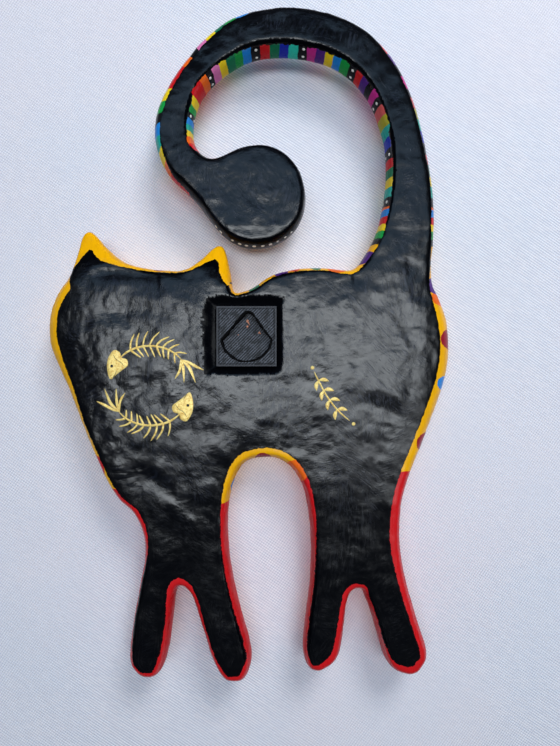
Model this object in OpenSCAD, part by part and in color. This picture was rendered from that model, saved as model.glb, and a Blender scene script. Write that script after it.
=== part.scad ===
// Papier-mache wall cat with a curled tail: three glued cardboard layers, a wire in the tail,
// sticks in the legs, paper pads for the relief, a paper skin behind and in front, and a
// square hanger block let into the back. It hangs on one nail.
// Millimetres. +Z is up, +Y points into the wall, and Y = 0 is the wall.
// The origin is where the nail sits, at the top of the hanger's recess.

/* [Skin] */
// Depth of the widest line of the edge, measured from the wall
edge_depth = 14; // [13.5:0.5:15]
// Depth of the flat of the front, measured from the wall
front_depth = 23; // [22:0.5:26]
// How far the flat of the back stays off the wall
back_gap = 1; // [0.5:0.1:1.5]
// Height of the head's relief above the flat of the front
head_rise = 7; // [4:0.5:9]
// Height of the haunch's relief above the flat of the front
haunch_rise = 5; // [3:0.5:7]
// Height of the shoulder's relief above the flat of the front
shoulder_rise = 4; // [3:0.5:6]
// Height of the relief on the knob of the tail
knob_rise = 4; // [3:0.5:6]

/* [Core] */
// Thickness of one layer of corrugated board
board_t = 5; // [4:0.5:5]
// How far the boards stay inside the outline
board_inset = 7; // [6.5:0.5:8]
// Diameter of the wire in the tail
wire_d = 3; // [2:0.5:3.5]
// Diameter of the sticks in the legs
stick_d = 4; // [3:0.5:4.5]
// Thickness of the card in the ears
ear_card_t = 4; // [2:0.5:4]

/* [Hanger] */
// Side of the square hanger block
hanger_side = 40; // [38:0.5:42]
// Depth of the recess that the nail's head goes into
recess_depth = 6; // [5:0.5:7]
// Width of the recess
recess_w = 34; // [30:0.5:34]
// Radius of the top of the recess, where the nail sits
seat_r = 4; // [3:0.5:5]
// Width of the gap that the skin leaves around the block
moat = 4; // [3:0.5:5]

/* [Smoothness] */
// Straight pieces between two points of the outline
steps = 2; // [1:1:3]

/* [Hidden] */
slack = 0.1;                               // room between the core and the skin round it
skin_t = 3;                                // thickness of the skin over the boards and the pads
core_top = -(back_gap + skin_t);           // rear face of the rear board
mid_top = core_top - board_t;              // rear face of the middle board
front_top = mid_top - board_t;             // rear face of the front board
core_low = front_top - board_t;            // front face of the front board
hanger_x = 1;                              // middle of the block, beside the nail
hanger_z = -12.5;                          // middle of the block, below the nail

// The outline, as [x, z, width of the rounded edge on the back].
// From the notch behind the head along the back to the root of the tail.
spine = [[10,18,4],[4.5,18.5,4],[-4,22,4],[-13,28.5,4],[-25,33,4],[-39.5,35,4],[-54.5,35,4],[-67,33.5,4],[-74,36,4.5]];
// Inner edge of the tail, up from its root and round to the knob.
tail_inner = [[-81.5,47,5],[-88,60.5,5],[-92.5,79.5,5],[-94.5,100,5],[-93.5,119,5],[-89,136,5],[-82.5,151.5,5],
              [-73.5,163.5,5],[-63,172,5],[-50.5,178,5],[-35,181.5,5],[-20,182.5,5],[-4.5,180.5,5],[9,174.5,5],
              [21.5,165.5,5],[32,153.5,5],[37,141.5,5],[38.5,130.5,5],[37.5,121,4.5],[32.5,113.5,4]];
knob = [[25,110.5,3.5],[17,113,3.5],[5,118.5,3.5],[-8.5,120,3.5],[-20,117,3.5],[-29.5,109.5,3.5],[-36,98.5,3.5],
        [-39,85,3.5],[-37,71,3.5],[-30.5,60,3.5],[-20.5,52.5,3.5],[-8,49,3.5],[4.5,50,3.5],[16,56,3.5],[26.5,67.5,3.5]];
// Outer edge of the tail, back over the top and down to the haunch.
tail_outer = [[35,79,4],[43.5,87.5,4.5],[54,97.5,5],[61.5,111,5],[65,126.5,5],[63,144,5],[56,160.5,5],[46,176,5],[32,192,5],
              [15.5,204.5,5],[-4,211.5,5],[-24,214,5],[-43.5,212.5,5],[-63,207,5],[-81,198,5],[-95.5,184.5,5],[-106.5,167.5,5],
              [-115,146,5],[-121,122.5,5],[-125.5,97,5],[-127.5,74,5],[-127,54,5],[-125.5,37,5],[-126.5,24,6]];
haunch = [[-131,14,8],[-135.5,1.5,10],[-137.5,-13,11],[-137,-29,11],[-133.5,-46,10],[-126.5,-66,9],[-118.5,-87,7.5],[-110.5,-107,6]];
hind_legs = [[-105,-127,5],[-103.5,-148,5],[-105.5,-168,5],[-110.5,-189.5,5],[-117,-211,5],[-122,-228,5],[-120.5,-238.5,5],
             [-114,-244,5],[-104,-243.5,5],[-95.5,-236,4.5],[-90,-223.5,4],[-85.5,-207.5,4],[-80,-191.5,4],[-75.5,-184.5,4],
             [-71,-186.5,4],[-67,-197.5,4],[-64.5,-215,4],[-62,-229.5,4.5],[-56.5,-238.5,5],[-47,-242.5,5],[-39.5,-237,5],
             [-37,-225.5,5],[-38.5,-206,4.5],[-41.5,-182.5,4.5],[-42.5,-158,4.5],[-41,-133.5,4.5],[-36.5,-114,4.5],[-28.5,-101,4.5]];
belly = [[-18,-95,4.5],[-6,-95,4.5],[3.5,-99,4.5],[9.5,-109,4.5]];
fore_legs = [[13.5,-124.5,4.5],[14.5,-145.5,4.5],[12.5,-168,4.5],[7,-195,4.5],[0,-220,5],[-2,-233,5],[1.5,-245,5],[10.5,-249.5,5],
             [20,-245,4.5],[26.5,-230,4],[33.5,-208,4],[40.5,-188.5,4],[46,-183,4],[50.5,-190.5,4],[53,-211,4],[56,-230,4.5],
             [61.5,-242.5,5],[71,-247,5],[79.5,-241.5,5],[82,-231,5],[79.5,-209,4.5],[74.5,-181,4.5],[71.5,-161.5,4.5],
             [73.5,-146,4.5],[79.5,-134,4.5],[88.5,-125.5,5]];
chest = [[97,-113.5,5],[105.5,-95,5],[114.5,-73.5,6],[124,-49,7.5],[132.5,-30,8.5],[137.5,-16,9],[138,-3,9],[136,9,9],[130.5,21,7]];
ears = [[124.5,30,4.5],[119.5,43,3],[115,56,2.5],[110.5,60.5,2],[106,58,2.5],[96,47,3],[85,39,4],[72,35,4.5],[57,33.5,4.5],
        [45,34,4],[35.5,39,3],[26,48,2.5],[20,51,2],[16.5,47.5,2.5],[13.5,35.5,3],[11.5,24,3.5]];
// The head's top edge under the ears, which the boards follow.
crown = [[124,29,4.5],[112,33,4],[98,36,4],[85,36,4],[72,35,4.5],[57,33.5,4.5],[45,33.5,4],[33,33,4],[22,29,4]];
// Middle line of the tail's wire, from the haunch to the knob.
wire_line = [[-98,-70],[-103,-30],[-106,10],[-108,45],[-110,75],[-109,105],[-105,130],[-97,153],[-85,174],[-68,189],[-46,197],
             [-22,198],[0,194],[20,183],[36,168],[47,150],[51,133],[48,115],[38,101],[24,93],[8,87]];
// Foot and top of the stick in each leg.
leg_lines = [[[70,-236],[62,-140]], [[11,-238],[36,-140]], [[-49,-232],[-60,-130]], [[-112,-235],[-84,-130]]];
// Middle, half width and half height of each relief pad.
head_dome = [72, -14, 54, 42];
haunch_dome = [-98, -42, 30, 50];
shoulder_dome = [66, -98, 25, 36];
knob_dome = [-9, 85, 24, 26];

outline = concat(spine, tail_inner, knob, tail_outer, haunch, hind_legs, belly, fore_legs, chest, ears);
bare = concat(spine, tail_inner, knob, tail_outer, haunch, hind_legs, belly, fore_legs, chest, crown);

// A smooth closed curve through points, and its direction.
function wrap(p, i) = p[(i + len(p)) % len(p)];
function curve(p, i, t) = let(a = wrap(p, i - 1), b = wrap(p, i), c = wrap(p, i + 1), d = wrap(p, i + 2))
    0.5 * (2 * b + (c - a) * t + (2 * a - 5 * b + 4 * c - d) * t * t + (3 * b - a - 3 * c + d) * t * t * t);
function slope(p, i, t) = let(a = wrap(p, i - 1), b = wrap(p, i), c = wrap(p, i + 1), d = wrap(p, i + 2))
    0.5 * ((c - a) + 2 * (2 * a - 5 * b + 4 * c - d) * t + 3 * (3 * b - a - 3 * c + d) * t * t);
function smooth(p) = [for (i = [0 : len(p) - 1], k = [0 : steps - 1]) curve(p, i, k / steps)];
function inward(p) = [for (i = [0 : len(p) - 1], k = [0 : steps - 1]) let(s = slope(p, i, k / steps), l = norm([s[0], s[1]])) [-s[1] / l, s[0] / l]];
function flat(p) = [for (q = p) [q[0], q[1]]];

rim = smooth(outline);
rim_in = inward(outline);
// Share of the edge's width and of its depth at each ring of the rounded edge.
edge = [[0, 0], [0.06, 0.35], [0.2, 0.62], [0.45, 0.84], [0.75, 0.96], [1, 1]];

// Half of the figure: rings from the widest line to a flat face at depth y, the edge being wide times as wide as on the back.
module half_shell(y, wide, widest) {
    n = len(rim);
    m = len(edge);
    pts = [for (e = edge, i = [0 : n - 1])
        let(in = min(widest, rim[i][2] * wide) * e[0])
        [rim[i][0] + rim_in[i][0] * in, -edge_depth + (y + edge_depth) * e[1], rim[i][1] + rim_in[i][1] * in]];
    sides = [for (j = [0 : m - 2], i = [0 : n - 1], h = [0, 1])
        let(a = j * n + i, b = j * n + (i + 1) % n, c = a + n, d = b + n) h == 0 ? [a, b, d] : [a, d, c]];
    low = [for (i = [0 : n - 1]) i];
    high = [for (i = [0 : n - 1]) (m - 1) * n + i];
    back = y > -edge_depth;
    turned = [for (f = sides) [f[0], f[2], f[1]]];
    polyhedron(points = pts, faces = back
        ? concat(sides, [[for (i = [n - 1 : -1 : 0]) low[i]]], [high])
        : concat(turned, [low], [[for (i = [n - 1 : -1 : 0]) high[i]]]));
}

// A low dome on a plane at depth y, rising towards the front.
module dome(d, y, rise, trim = 0) {
    n = 36;
    rings = [[1, 0], [0.93, 0.2], [0.8, 0.45], [0.6, 0.72], [0.35, 0.92]];
    pts = concat(
        [[d[0], y - rise, d[1]]],
        [for (r = rings, i = [0 : n - 1]) [d[0] + (d[2] - trim) * r[0] * cos(360 * i / n), y - rise * r[1], d[1] + (d[3] - trim) * r[0] * sin(360 * i / n)]],
        [for (i = [0 : n - 1]) [d[0] + (d[2] - trim) * cos(360 * i / n), y + 0.5, d[1] + (d[3] - trim) * sin(360 * i / n)]]);
    faces = concat(
        [for (i = [0 : n - 1]) [0, 1 + 4 * n + (i + 1) % n, 1 + 4 * n + i]],
        [for (j = [0 : 3], i = [0 : n - 1]) [1 + j * n + i, 1 + (j + 1) * n + i, 1 + (j + 1) * n + (i + 1) % n, 1 + j * n + (i + 1) % n]],
        [for (i = [0 : n - 1]) [1 + 5 * n + i, 1 + i, 1 + (i + 1) % n, 1 + 5 * n + (i + 1) % n]],
        [[for (i = [0 : n - 1]) 1 + 5 * n + i]]);
    polyhedron(points = pts, faces = faces);
}

// A flat shape drawn in x and z, from depth y0 forward to depth y1.
module slab(y0, y1) {
    translate([0, y0, 0]) rotate([90, 0, 0]) linear_extrude(height = y0 - y1) children();
}

module core_shape(grow = 0) { offset(delta = -board_inset + grow) polygon(flat(smooth(bare))); }

// A bar of width w along a line of points, for the slots in the middle board.
module bar2(line, w) {
    n = len(line);
    side = [for (i = [0 : n - 1])
        let(a = line[max(0, i - 1)], b = line[min(n - 1, i + 1)], l = norm(b - a)) [-(b[1] - a[1]) / l, (b[0] - a[0]) / l]];
    polygon(concat([for (i = [0 : n - 1]) line[i] + side[i] * w / 2], [for (i = [n - 1 : -1 : 0]) line[i] - side[i] * w / 2]));
}

function wire_curve(p) = concat([for (i = [0 : len(p) - 2], k = [0 : 2])
    let(t = k / 3, a = p[max(0, i - 1)], b = p[i], c = p[i + 1], d = p[min(len(p) - 1, i + 2)])
    0.5 * (2 * b + (c - a) * t + (2 * a - 5 * b + 4 * c - d) * t * t + (3 * b - a - 3 * c + d) * t * t * t)], [p[len(p) - 1]]);
wire_path = wire_curve(wire_line);

// The ear's card, standing on the head's top edge.
left_card = [[121, 26], [115, 42], [110.5, 52], [98, 41], [92, 29.5]];
right_card = [[37, 27], [30, 38], [21, 45], [18.5, 36], [18, 21]];

// Everything the skin is laid over.
module core() {
    slab(core_top + slack, core_low - slack) core_shape(slack);
    slab(-edge_depth + ear_card_t + slack, -edge_depth - slack) { polygon(left_card); polygon(right_card); }
}
module pads(grow) {
    dome(head_dome, core_low, head_rise + front_depth + core_low - skin_t + 0, 3 - grow);
    dome(haunch_dome, core_low, haunch_rise + front_depth + core_low - skin_t, 3 - grow);
    dome(shoulder_dome, core_low, shoulder_rise + front_depth + core_low - skin_t, 3 - grow);
    dome(knob_dome, core_low, knob_rise + front_depth + core_low - skin_t, 3 - grow);
}
module front_solid() {
    half_shell(-front_depth, 1.5, 7);
    dome(head_dome, -front_depth, head_rise);
    dome(haunch_dome, -front_depth, haunch_rise);
    dome(shoulder_dome, -front_depth, shoulder_rise);
    dome(knob_dome, -front_depth, knob_rise);
}

module back_skin() {
    color([0.05, 0.055, 0.065]) resize([0, 0, 0]) difference() {
        half_shell(-back_gap, 1, 20);
        core();
        translate([hanger_x, 0, hanger_z]) cube([hanger_side + 2 * moat, 6, hanger_side + 2 * moat], center = true);
        translate([hanger_x, 0, hanger_z]) cube([hanger_side + 0.4, 10, hanger_side + 0.4], center = true);
    }
}
module front_skin() {
    color([0.95, 0.7, 0.08]) resize([0, 0, 0]) difference() {
        front_solid();
        core();
        pads(slack);
    }
}
module board_back() {
    color([0.72, 0.56, 0.38]) difference() {
        slab(core_top, mid_top) core_shape();
        translate([hanger_x, mid_top, hanger_z]) cube([hanger_side + 0.4, 3 * board_t, hanger_side + 0.4], center = true);
    }
}
module board_middle() {
    color([0.7, 0.54, 0.36]) difference() {
        slab(mid_top, front_top) core_shape();
        slab(mid_top + 1, front_top - 1) bar2(wire_path, wire_d + 0.4);
        for (l = leg_lines) slab(mid_top + 1, front_top - 1) bar2([l[0], l[1]], stick_d + 0.4);
    }
}
module board_front() { color([0.68, 0.52, 0.34]) slab(front_top, core_low) core_shape(); }

module tail_wire() {
    n = len(wire_path);
    y = (mid_top + front_top) / 2;
    side = [for (i = [0 : n - 1])
        let(a = wire_path[max(0, i - 1)], b = wire_path[min(n - 1, i + 1)], l = norm(b - a)) [-(b[1] - a[1]) / l, (b[0] - a[0]) / l]];
    pts = [for (i = [0 : n - 1], k = [0 : 7])
        let(s = wire_d / 2 * cos(45 * k)) [wire_path[i][0] + side[i][0] * s, y + wire_d / 2 * sin(45 * k), wire_path[i][1] + side[i][1] * s]];
    faces = concat([[for (k = [7 : -1 : 0]) k]],
        [for (i = [0 : n - 2], k = [0 : 7], h = [0, 1]) let(a = i * 8 + k, b = i * 8 + (k + 1) % 8) h == 0 ? [a, b + 8, a + 8] : [a, b, b + 8]],
        [[for (k = [0 : 7]) (n - 1) * 8 + k]]);
    color([0.6, 0.62, 0.64]) polyhedron(points = pts, faces = faces);
}
module leg_sticks() {
    color([0.82, 0.68, 0.42]) for (l = leg_lines) {
        v = l[1] - l[0];
        len = norm(v) - 1;
        u = v / norm(v);
        translate([l[0][0] + u[0] / 2, (mid_top + front_top) / 2, l[0][1] + u[1] / 2]) rotate([0, atan2(v[0], v[1]), 0]) cylinder(r = stick_d / 2, h = len, $fn = 32);
    }
}
module ear_card_left() { color([0.75, 0.6, 0.42]) slab(-edge_depth + ear_card_t, -edge_depth) difference() { polygon(left_card); core_shape(slack); } }
module ear_card_right() { color([0.75, 0.6, 0.42]) slab(-edge_depth + ear_card_t, -edge_depth) difference() { polygon(right_card); core_shape(slack); } }

module pad(d, rise) {
    color([0.78, 0.76, 0.7]) resize([0, 0, 0]) difference() {
        dome(d, core_low - slack, rise + front_depth + core_low - skin_t - slack, 3);
        translate([-200, core_low - slack, -300]) cube([400, 20, 600]);
    }
}

// The nail recess: round at the bottom, straight up both sides, and a small round seat at the top.
module recess2() {
    corner_z = -15;
    lift = 2.8;                            // the big arc's centre lies this far above its corners
    r = sqrt(recess_w * recess_w / 4 + lift * lift);
    a = asin(lift / r);
    right = [hanger_x + recess_w / 2, corner_z];
    left = [hanger_x - recess_w / 2, corner_z];
    t0 = atan2(right[1], right[0]) + acos(seat_r / norm(right));
    t1 = atan2(left[1], left[0]) + 360 - acos(seat_r / norm(left));
    polygon(concat(
        [for (k = [0 : 16]) let(t = t0 + (t1 - t0) * k / 16) seat_r * [cos(t), sin(t)]],
        [for (k = [0 : 48]) let(t = 180 + a + (180 - 2 * a) * k / 48) [hanger_x, corner_z + lift] + r * [cos(t), sin(t)]]));
}
module hanger_block() {
    color([0.09, 0.095, 0.105]) difference() {
        translate([hanger_x, mid_top / 2, hanger_z]) cube([hanger_side, -mid_top, hanger_side], center = true);
        slab(5, -recess_depth) recess2();
    }
}

module on_front() { difference() { children(); front_solid(); } }
module blob(x, z, y, rx, ry, rz) { translate([x, y, z]) scale([rx, ry, rz]) sphere(r = 1, $fn = 28); }
module muzzle() {
    color([0.96, 0.75, 0.2]) resize([0, 0, 0]) on_front() {
        cheek(80);
        cheek(64);
    }
}
module cheek(x) { blob(x, -34, -28, 11, 7, 8.5); }
module nose() {
    color([0.08, 0.06, 0.07]) resize([0, 0, 0]) difference() {
        on_front() blob(72, -24, -30.5, 7, 5.5, 5);
        cheek(80);
        cheek(64);
    }
}
module eye(x) { color([0.95, 0.93, 0.85]) resize([0, 0, 0]) on_front() blob(x, -6, -27.5, 11, 5, 8); }

back_skin();
front_skin();
board_back();
board_middle();
board_front();
tail_wire();
leg_sticks();
ear_card_left();
ear_card_right();
pad(head_dome, head_rise);  // head_pad
pad(haunch_dome, haunch_rise);  // haunch_pad
pad(shoulder_dome, shoulder_rise);  // shoulder_pad
pad(knob_dome, knob_rise);  // knob_pad
hanger_block();
muzzle();
nose();
eye(94);  // eye_left
eye(50);  // eye_right
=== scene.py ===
import math
from itertools import product

import bpy
import numpy as np
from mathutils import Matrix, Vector
from mathutils.bvhtree import BVHTree
from mathutils.kdtree import KDTree


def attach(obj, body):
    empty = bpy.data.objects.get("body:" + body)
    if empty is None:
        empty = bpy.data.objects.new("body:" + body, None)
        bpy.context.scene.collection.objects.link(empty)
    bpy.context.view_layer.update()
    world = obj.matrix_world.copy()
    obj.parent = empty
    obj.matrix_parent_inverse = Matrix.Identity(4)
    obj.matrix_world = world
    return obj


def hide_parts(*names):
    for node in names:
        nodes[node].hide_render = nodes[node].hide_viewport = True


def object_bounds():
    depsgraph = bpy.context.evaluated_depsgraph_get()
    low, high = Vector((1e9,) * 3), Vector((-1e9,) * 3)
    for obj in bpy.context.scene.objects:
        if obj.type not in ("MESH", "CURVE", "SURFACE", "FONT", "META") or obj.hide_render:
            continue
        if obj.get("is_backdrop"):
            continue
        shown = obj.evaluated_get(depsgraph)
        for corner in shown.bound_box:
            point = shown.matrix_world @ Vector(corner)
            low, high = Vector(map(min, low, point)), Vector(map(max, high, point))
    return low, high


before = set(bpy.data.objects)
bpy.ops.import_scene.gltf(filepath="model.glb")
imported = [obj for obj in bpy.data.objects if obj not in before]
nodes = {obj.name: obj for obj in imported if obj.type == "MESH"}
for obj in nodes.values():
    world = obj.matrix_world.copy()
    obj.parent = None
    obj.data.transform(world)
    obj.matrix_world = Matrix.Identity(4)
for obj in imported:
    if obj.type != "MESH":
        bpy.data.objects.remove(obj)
cad_lo, cad_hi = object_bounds()
scene = bpy.context.scene
coll = scene.collection

# ---------------------------------------------------------------- camera
cam_data = bpy.data.cameras.new("camera")
cam_data.sensor_width = 36
cam_data.lens = 26
cam_data.clip_start = 0.01
cam_data.clip_end = 20
camera = bpy.data.objects.new("camera", cam_data)
coll.objects.link(camera)
camera.location = (-0.02133, 0.359, -0.037)
camera.rotation_euler = Vector((0, -1, 0)).to_track_quat("-Z", "Y").to_euler()
scene.camera = camera

# ---------------------------------------------------------------- the outline, in millimetres: x, z, width of the rounded edge on the back
spine = [(10, 18, 4), (4.5, 18.5, 4), (-4, 22, 4), (-13, 28.5, 4), (-25, 33, 4), (-39.5, 35, 4), (-54.5, 35, 4), (-67, 33.5, 4), (-74, 36, 4.5)]
tail_inner = [(-81.5, 47, 5), (-88, 60.5, 5), (-92.5, 79.5, 5), (-94.5, 100, 5), (-93.5, 119, 5), (-89, 136, 5), (-82.5, 151.5, 5), (-73.5, 163.5, 5),
              (-63, 172, 5), (-50.5, 178, 5), (-35, 181.5, 5), (-20, 182.5, 5), (-4.5, 180.5, 5), (9, 174.5, 5), (21.5, 165.5, 5), (32, 153.5, 5),
              (37, 141.5, 5), (38.5, 130.5, 5), (37.5, 121, 4.5), (32.5, 113.5, 4)]
knob = [(25, 110.5, 3.5), (17, 113, 3.5), (5, 118.5, 3.5), (-8.5, 120, 3.5), (-20, 117, 3.5), (-29.5, 109.5, 3.5), (-36, 98.5, 3.5), (-39, 85, 3.5),
        (-37, 71, 3.5), (-30.5, 60, 3.5), (-20.5, 52.5, 3.5), (-8, 49, 3.5), (4.5, 50, 3.5), (16, 56, 3.5), (26.5, 67.5, 3.5)]
tail_outer = [(35, 79, 4), (43.5, 87.5, 4.5), (54, 97.5, 5), (61.5, 111, 5), (65, 126.5, 5), (63, 144, 5), (56, 160.5, 5), (46, 176, 5), (32, 192, 5),
              (15.5, 204.5, 5), (-4, 211.5, 5), (-24, 214, 5), (-43.5, 212.5, 5), (-63, 207, 5), (-81, 198, 5), (-95.5, 184.5, 5), (-106.5, 167.5, 5),
              (-115, 146, 5), (-121, 122.5, 5), (-125.5, 97, 5), (-127.5, 74, 5), (-127, 54, 5), (-125.5, 37, 5), (-126.5, 24, 6)]
haunch = [(-131, 14, 8), (-135.5, 1.5, 10), (-137.5, -13, 11), (-137, -29, 11), (-133.5, -46, 10), (-126.5, -66, 9), (-118.5, -87, 7.5), (-110.5, -107, 6)]
hind_legs = [(-105, -127, 5), (-103.5, -148, 5), (-105.5, -168, 5), (-110.5, -189.5, 5), (-117, -211, 5), (-122, -228, 5), (-120.5, -238.5, 5),
             (-114, -244, 5), (-104, -243.5, 5), (-95.5, -236, 4.5), (-90, -223.5, 4), (-85.5, -207.5, 4), (-80, -191.5, 4), (-75.5, -184.5, 4),
             (-71, -186.5, 4), (-67, -197.5, 4), (-64.5, -215, 4), (-62, -229.5, 4.5), (-56.5, -238.5, 5), (-47, -242.5, 5), (-39.5, -237, 5),
             (-37, -225.5, 5), (-38.5, -206, 4.5), (-41.5, -182.5, 4.5), (-42.5, -158, 4.5), (-41, -133.5, 4.5), (-36.5, -114, 4.5), (-28.5, -101, 4.5)]
belly = [(-18, -95, 4.5), (-6, -95, 4.5), (3.5, -99, 4.5), (9.5, -109, 4.5)]
fore_legs = [(13.5, -124.5, 4.5), (14.5, -145.5, 4.5), (12.5, -168, 4.5), (7, -195, 4.5), (0, -220, 5), (-2, -233, 5), (1.5, -245, 5), (10.5, -249.5, 5),
             (20, -245, 4.5), (26.5, -230, 4), (33.5, -208, 4), (40.5, -188.5, 4), (46, -183, 4), (50.5, -190.5, 4), (53, -211, 4), (56, -230, 4.5),
             (61.5, -242.5, 5), (71, -247, 5), (79.5, -241.5, 5), (82, -231, 5), (79.5, -209, 4.5), (74.5, -181, 4.5), (71.5, -161.5, 4.5),
             (73.5, -146, 4.5), (79.5, -134, 4.5), (88.5, -125.5, 5)]
chest = [(97, -113.5, 5), (105.5, -95, 5), (114.5, -73.5, 6), (124, -49, 7.5), (132.5, -30, 8.5), (137.5, -16, 9), (138, -3, 9), (136, 9, 9), (130.5, 21, 7)]
ears = [(124.5, 30, 4.5), (119.5, 43, 3), (115, 56, 2.5), (110.5, 60.5, 2), (106, 58, 2.5), (96, 47, 3), (85, 39, 4), (72, 35, 4.5), (57, 33.5, 4.5),
        (45, 34, 4), (35.5, 39, 3), (26, 48, 2.5), (20, 51, 2), (16.5, 47.5, 2.5), (13.5, 35.5, 3), (11.5, 24, 3.5)]
outline = np.array(spine + tail_inner + knob + tail_outer + haunch + hind_legs + belly + fore_legs + chest + ears, float)
# the papered edge is drawn in by up to 3 mm where the edge leans most from the middle of the back
lean_in = np.roll(outline, -1, 0)[:, :2] - np.roll(outline, 1, 0)[:, :2]
lean_in /= np.linalg.norm(lean_in, axis=1)[:, None]
lean_in = np.stack([-lean_in[:, 1], lean_in[:, 0]], 1)
lean = np.maximum(-((outline[:, :2] - np.array([-21.3, -37.0])) * lean_in).sum(1) * 0.0375, 0)
draw_in = np.clip(np.hypot(lean, outline[:, 2]) - outline[:, 2] - 0.5, 0, 3.0) * np.clip((outline[:, 2] - 2.4) / 1.5, 0, 1)
outline[:, :2] += lean_in * draw_in[:, None]


def dense(points, closed=True, per=24):
    """A Catmull-Rom curve through points, finely sampled."""
    p = np.array(points, float)
    n = len(p)
    out = []
    for i in range(n if closed else n - 1):
        if closed:
            a, b, c, d = p[i - 1], p[i], p[(i + 1) % n], p[(i + 2) % n]
        else:
            a, b, c, d = p[max(i - 1, 0)], p[i], p[i + 1], p[min(i + 2, n - 1)]
        t = (np.arange(per) / per)[:, None]
        out.append(0.5 * (2 * b + (c - a) * t + (2 * a - 5 * b + 4 * c - d) * t ** 2 + (3 * b - a - 3 * c + d) * t ** 3))
    if not closed:
        out.append(p[-1:])
    return np.concatenate(out)


def resample(points, pitch, closed=True):
    """Points at an even pitch along a polyline, with their place along it."""
    p = np.vstack([points, points[:1]]) if closed else np.asarray(points, float)
    seg = np.linalg.norm(np.diff(p[:, :2], axis=0), axis=1)
    at = np.concatenate([[0], np.cumsum(seg)])
    n = max(3, int(round(at[-1] / pitch)))
    s = np.linspace(0, at[-1], n, endpoint=not closed)
    return np.stack([np.interp(s, at, p[:, k]) for k in range(p.shape[1])], 1), s, at[-1]


rim, rim_s, rim_len = resample(dense(outline), 0.6)
tang = np.roll(rim, -2, 0)[:, :2] - np.roll(rim, 2, 0)[:, :2]
tang /= np.linalg.norm(tang, axis=1)[:, None]
rim_in = np.stack([-tang[:, 1], tang[:, 0]], 1)


def tree2(points):
    t = KDTree(len(points))
    for i, p in enumerate(points):
        t.insert((p[0], p[1], 0), i)
    t.balance()
    return t


rim_tree = tree2(rim)


def near_curve(q, pts, tree, place, closed=True):
    """For each point of q: distance to the curve, place along it, and which side (plus is left of the curve's direction)."""
    n = len(pts)
    idx = np.array([tree.find((a, b, 0))[1] for a, b in q])
    best_d = np.full(len(q), 1e9)
    best_s = np.zeros(len(q))
    side = np.ones(len(q))
    for off in (-1, 0):
        i = idx + off
        j = i + 1
        ok = np.ones(len(q), bool)
        if closed:
            i, j = i % n, j % n
        else:
            ok = (i >= 0) & (j < n)
            i, j = np.clip(i, 0, n - 1), np.clip(j, 0, n - 1)
        a, b = pts[i, :2], pts[j, :2]
        ab, aq = b - a, q - a
        l2 = np.maximum((ab ** 2).sum(1), 1e-9)
        t = np.clip((aq * ab).sum(1) / l2, 0, 1)
        d = np.linalg.norm(aq - ab * t[:, None], axis=1)
        s = place[i] + t * np.sqrt(l2)
        sg = np.sign(ab[:, 0] * aq[:, 1] - ab[:, 1] * aq[:, 0])
        m = ok & (d < best_d)
        best_d[m], best_s[m], side[m] = d[m], s[m], np.where(sg[m] == 0, 1, sg[m])
    return best_d, best_s, side


def s_at(x, z):
    """Place along the outline nearest to a point."""
    return near_curve(np.array([[x, z]], float), rim, rim_tree, rim_s)[1][0]


# ---------------------------------------------------------------- noise
def noise_maker(seed):
    r = np.random.default_rng(seed)
    perm = np.tile(r.permutation(256), 3)
    grad = r.normal(size=(256, 3))
    grad /= np.linalg.norm(grad, axis=1)[:, None]

    def noise(p):
        i = np.floor(p).astype(int)
        f = p - i
        u = f * f * f * (f * (f * 6 - 15) + 10)
        i &= 255
        out = np.zeros(len(p))
        for c in product((0, 1), repeat=3):
            h = perm[perm[perm[(i[:, 0] + c[0]) & 255] + ((i[:, 1] + c[1]) & 255)] + ((i[:, 2] + c[2]) & 255)]
            w = np.prod([u[:, k] if c[k] else 1 - u[:, k] for k in range(3)], axis=0)
            out += w * ((f - np.array(c)) * grad[h]).sum(1)
        return out * 1.5

    return noise


n1, n2, n3, n4 = noise_maker(11), noise_maker(12), noise_maker(13), noise_maker(14)


def fbm(f, p, octaves=3):
    return sum(f(p * 2 ** k + 17.3 * k) / 2 ** k for k in range(octaves))


def sstep(a, b, x):
    t = np.clip((x - a) / (b - a), 0, 1)
    return t * t * (3 - 2 * t)


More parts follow.
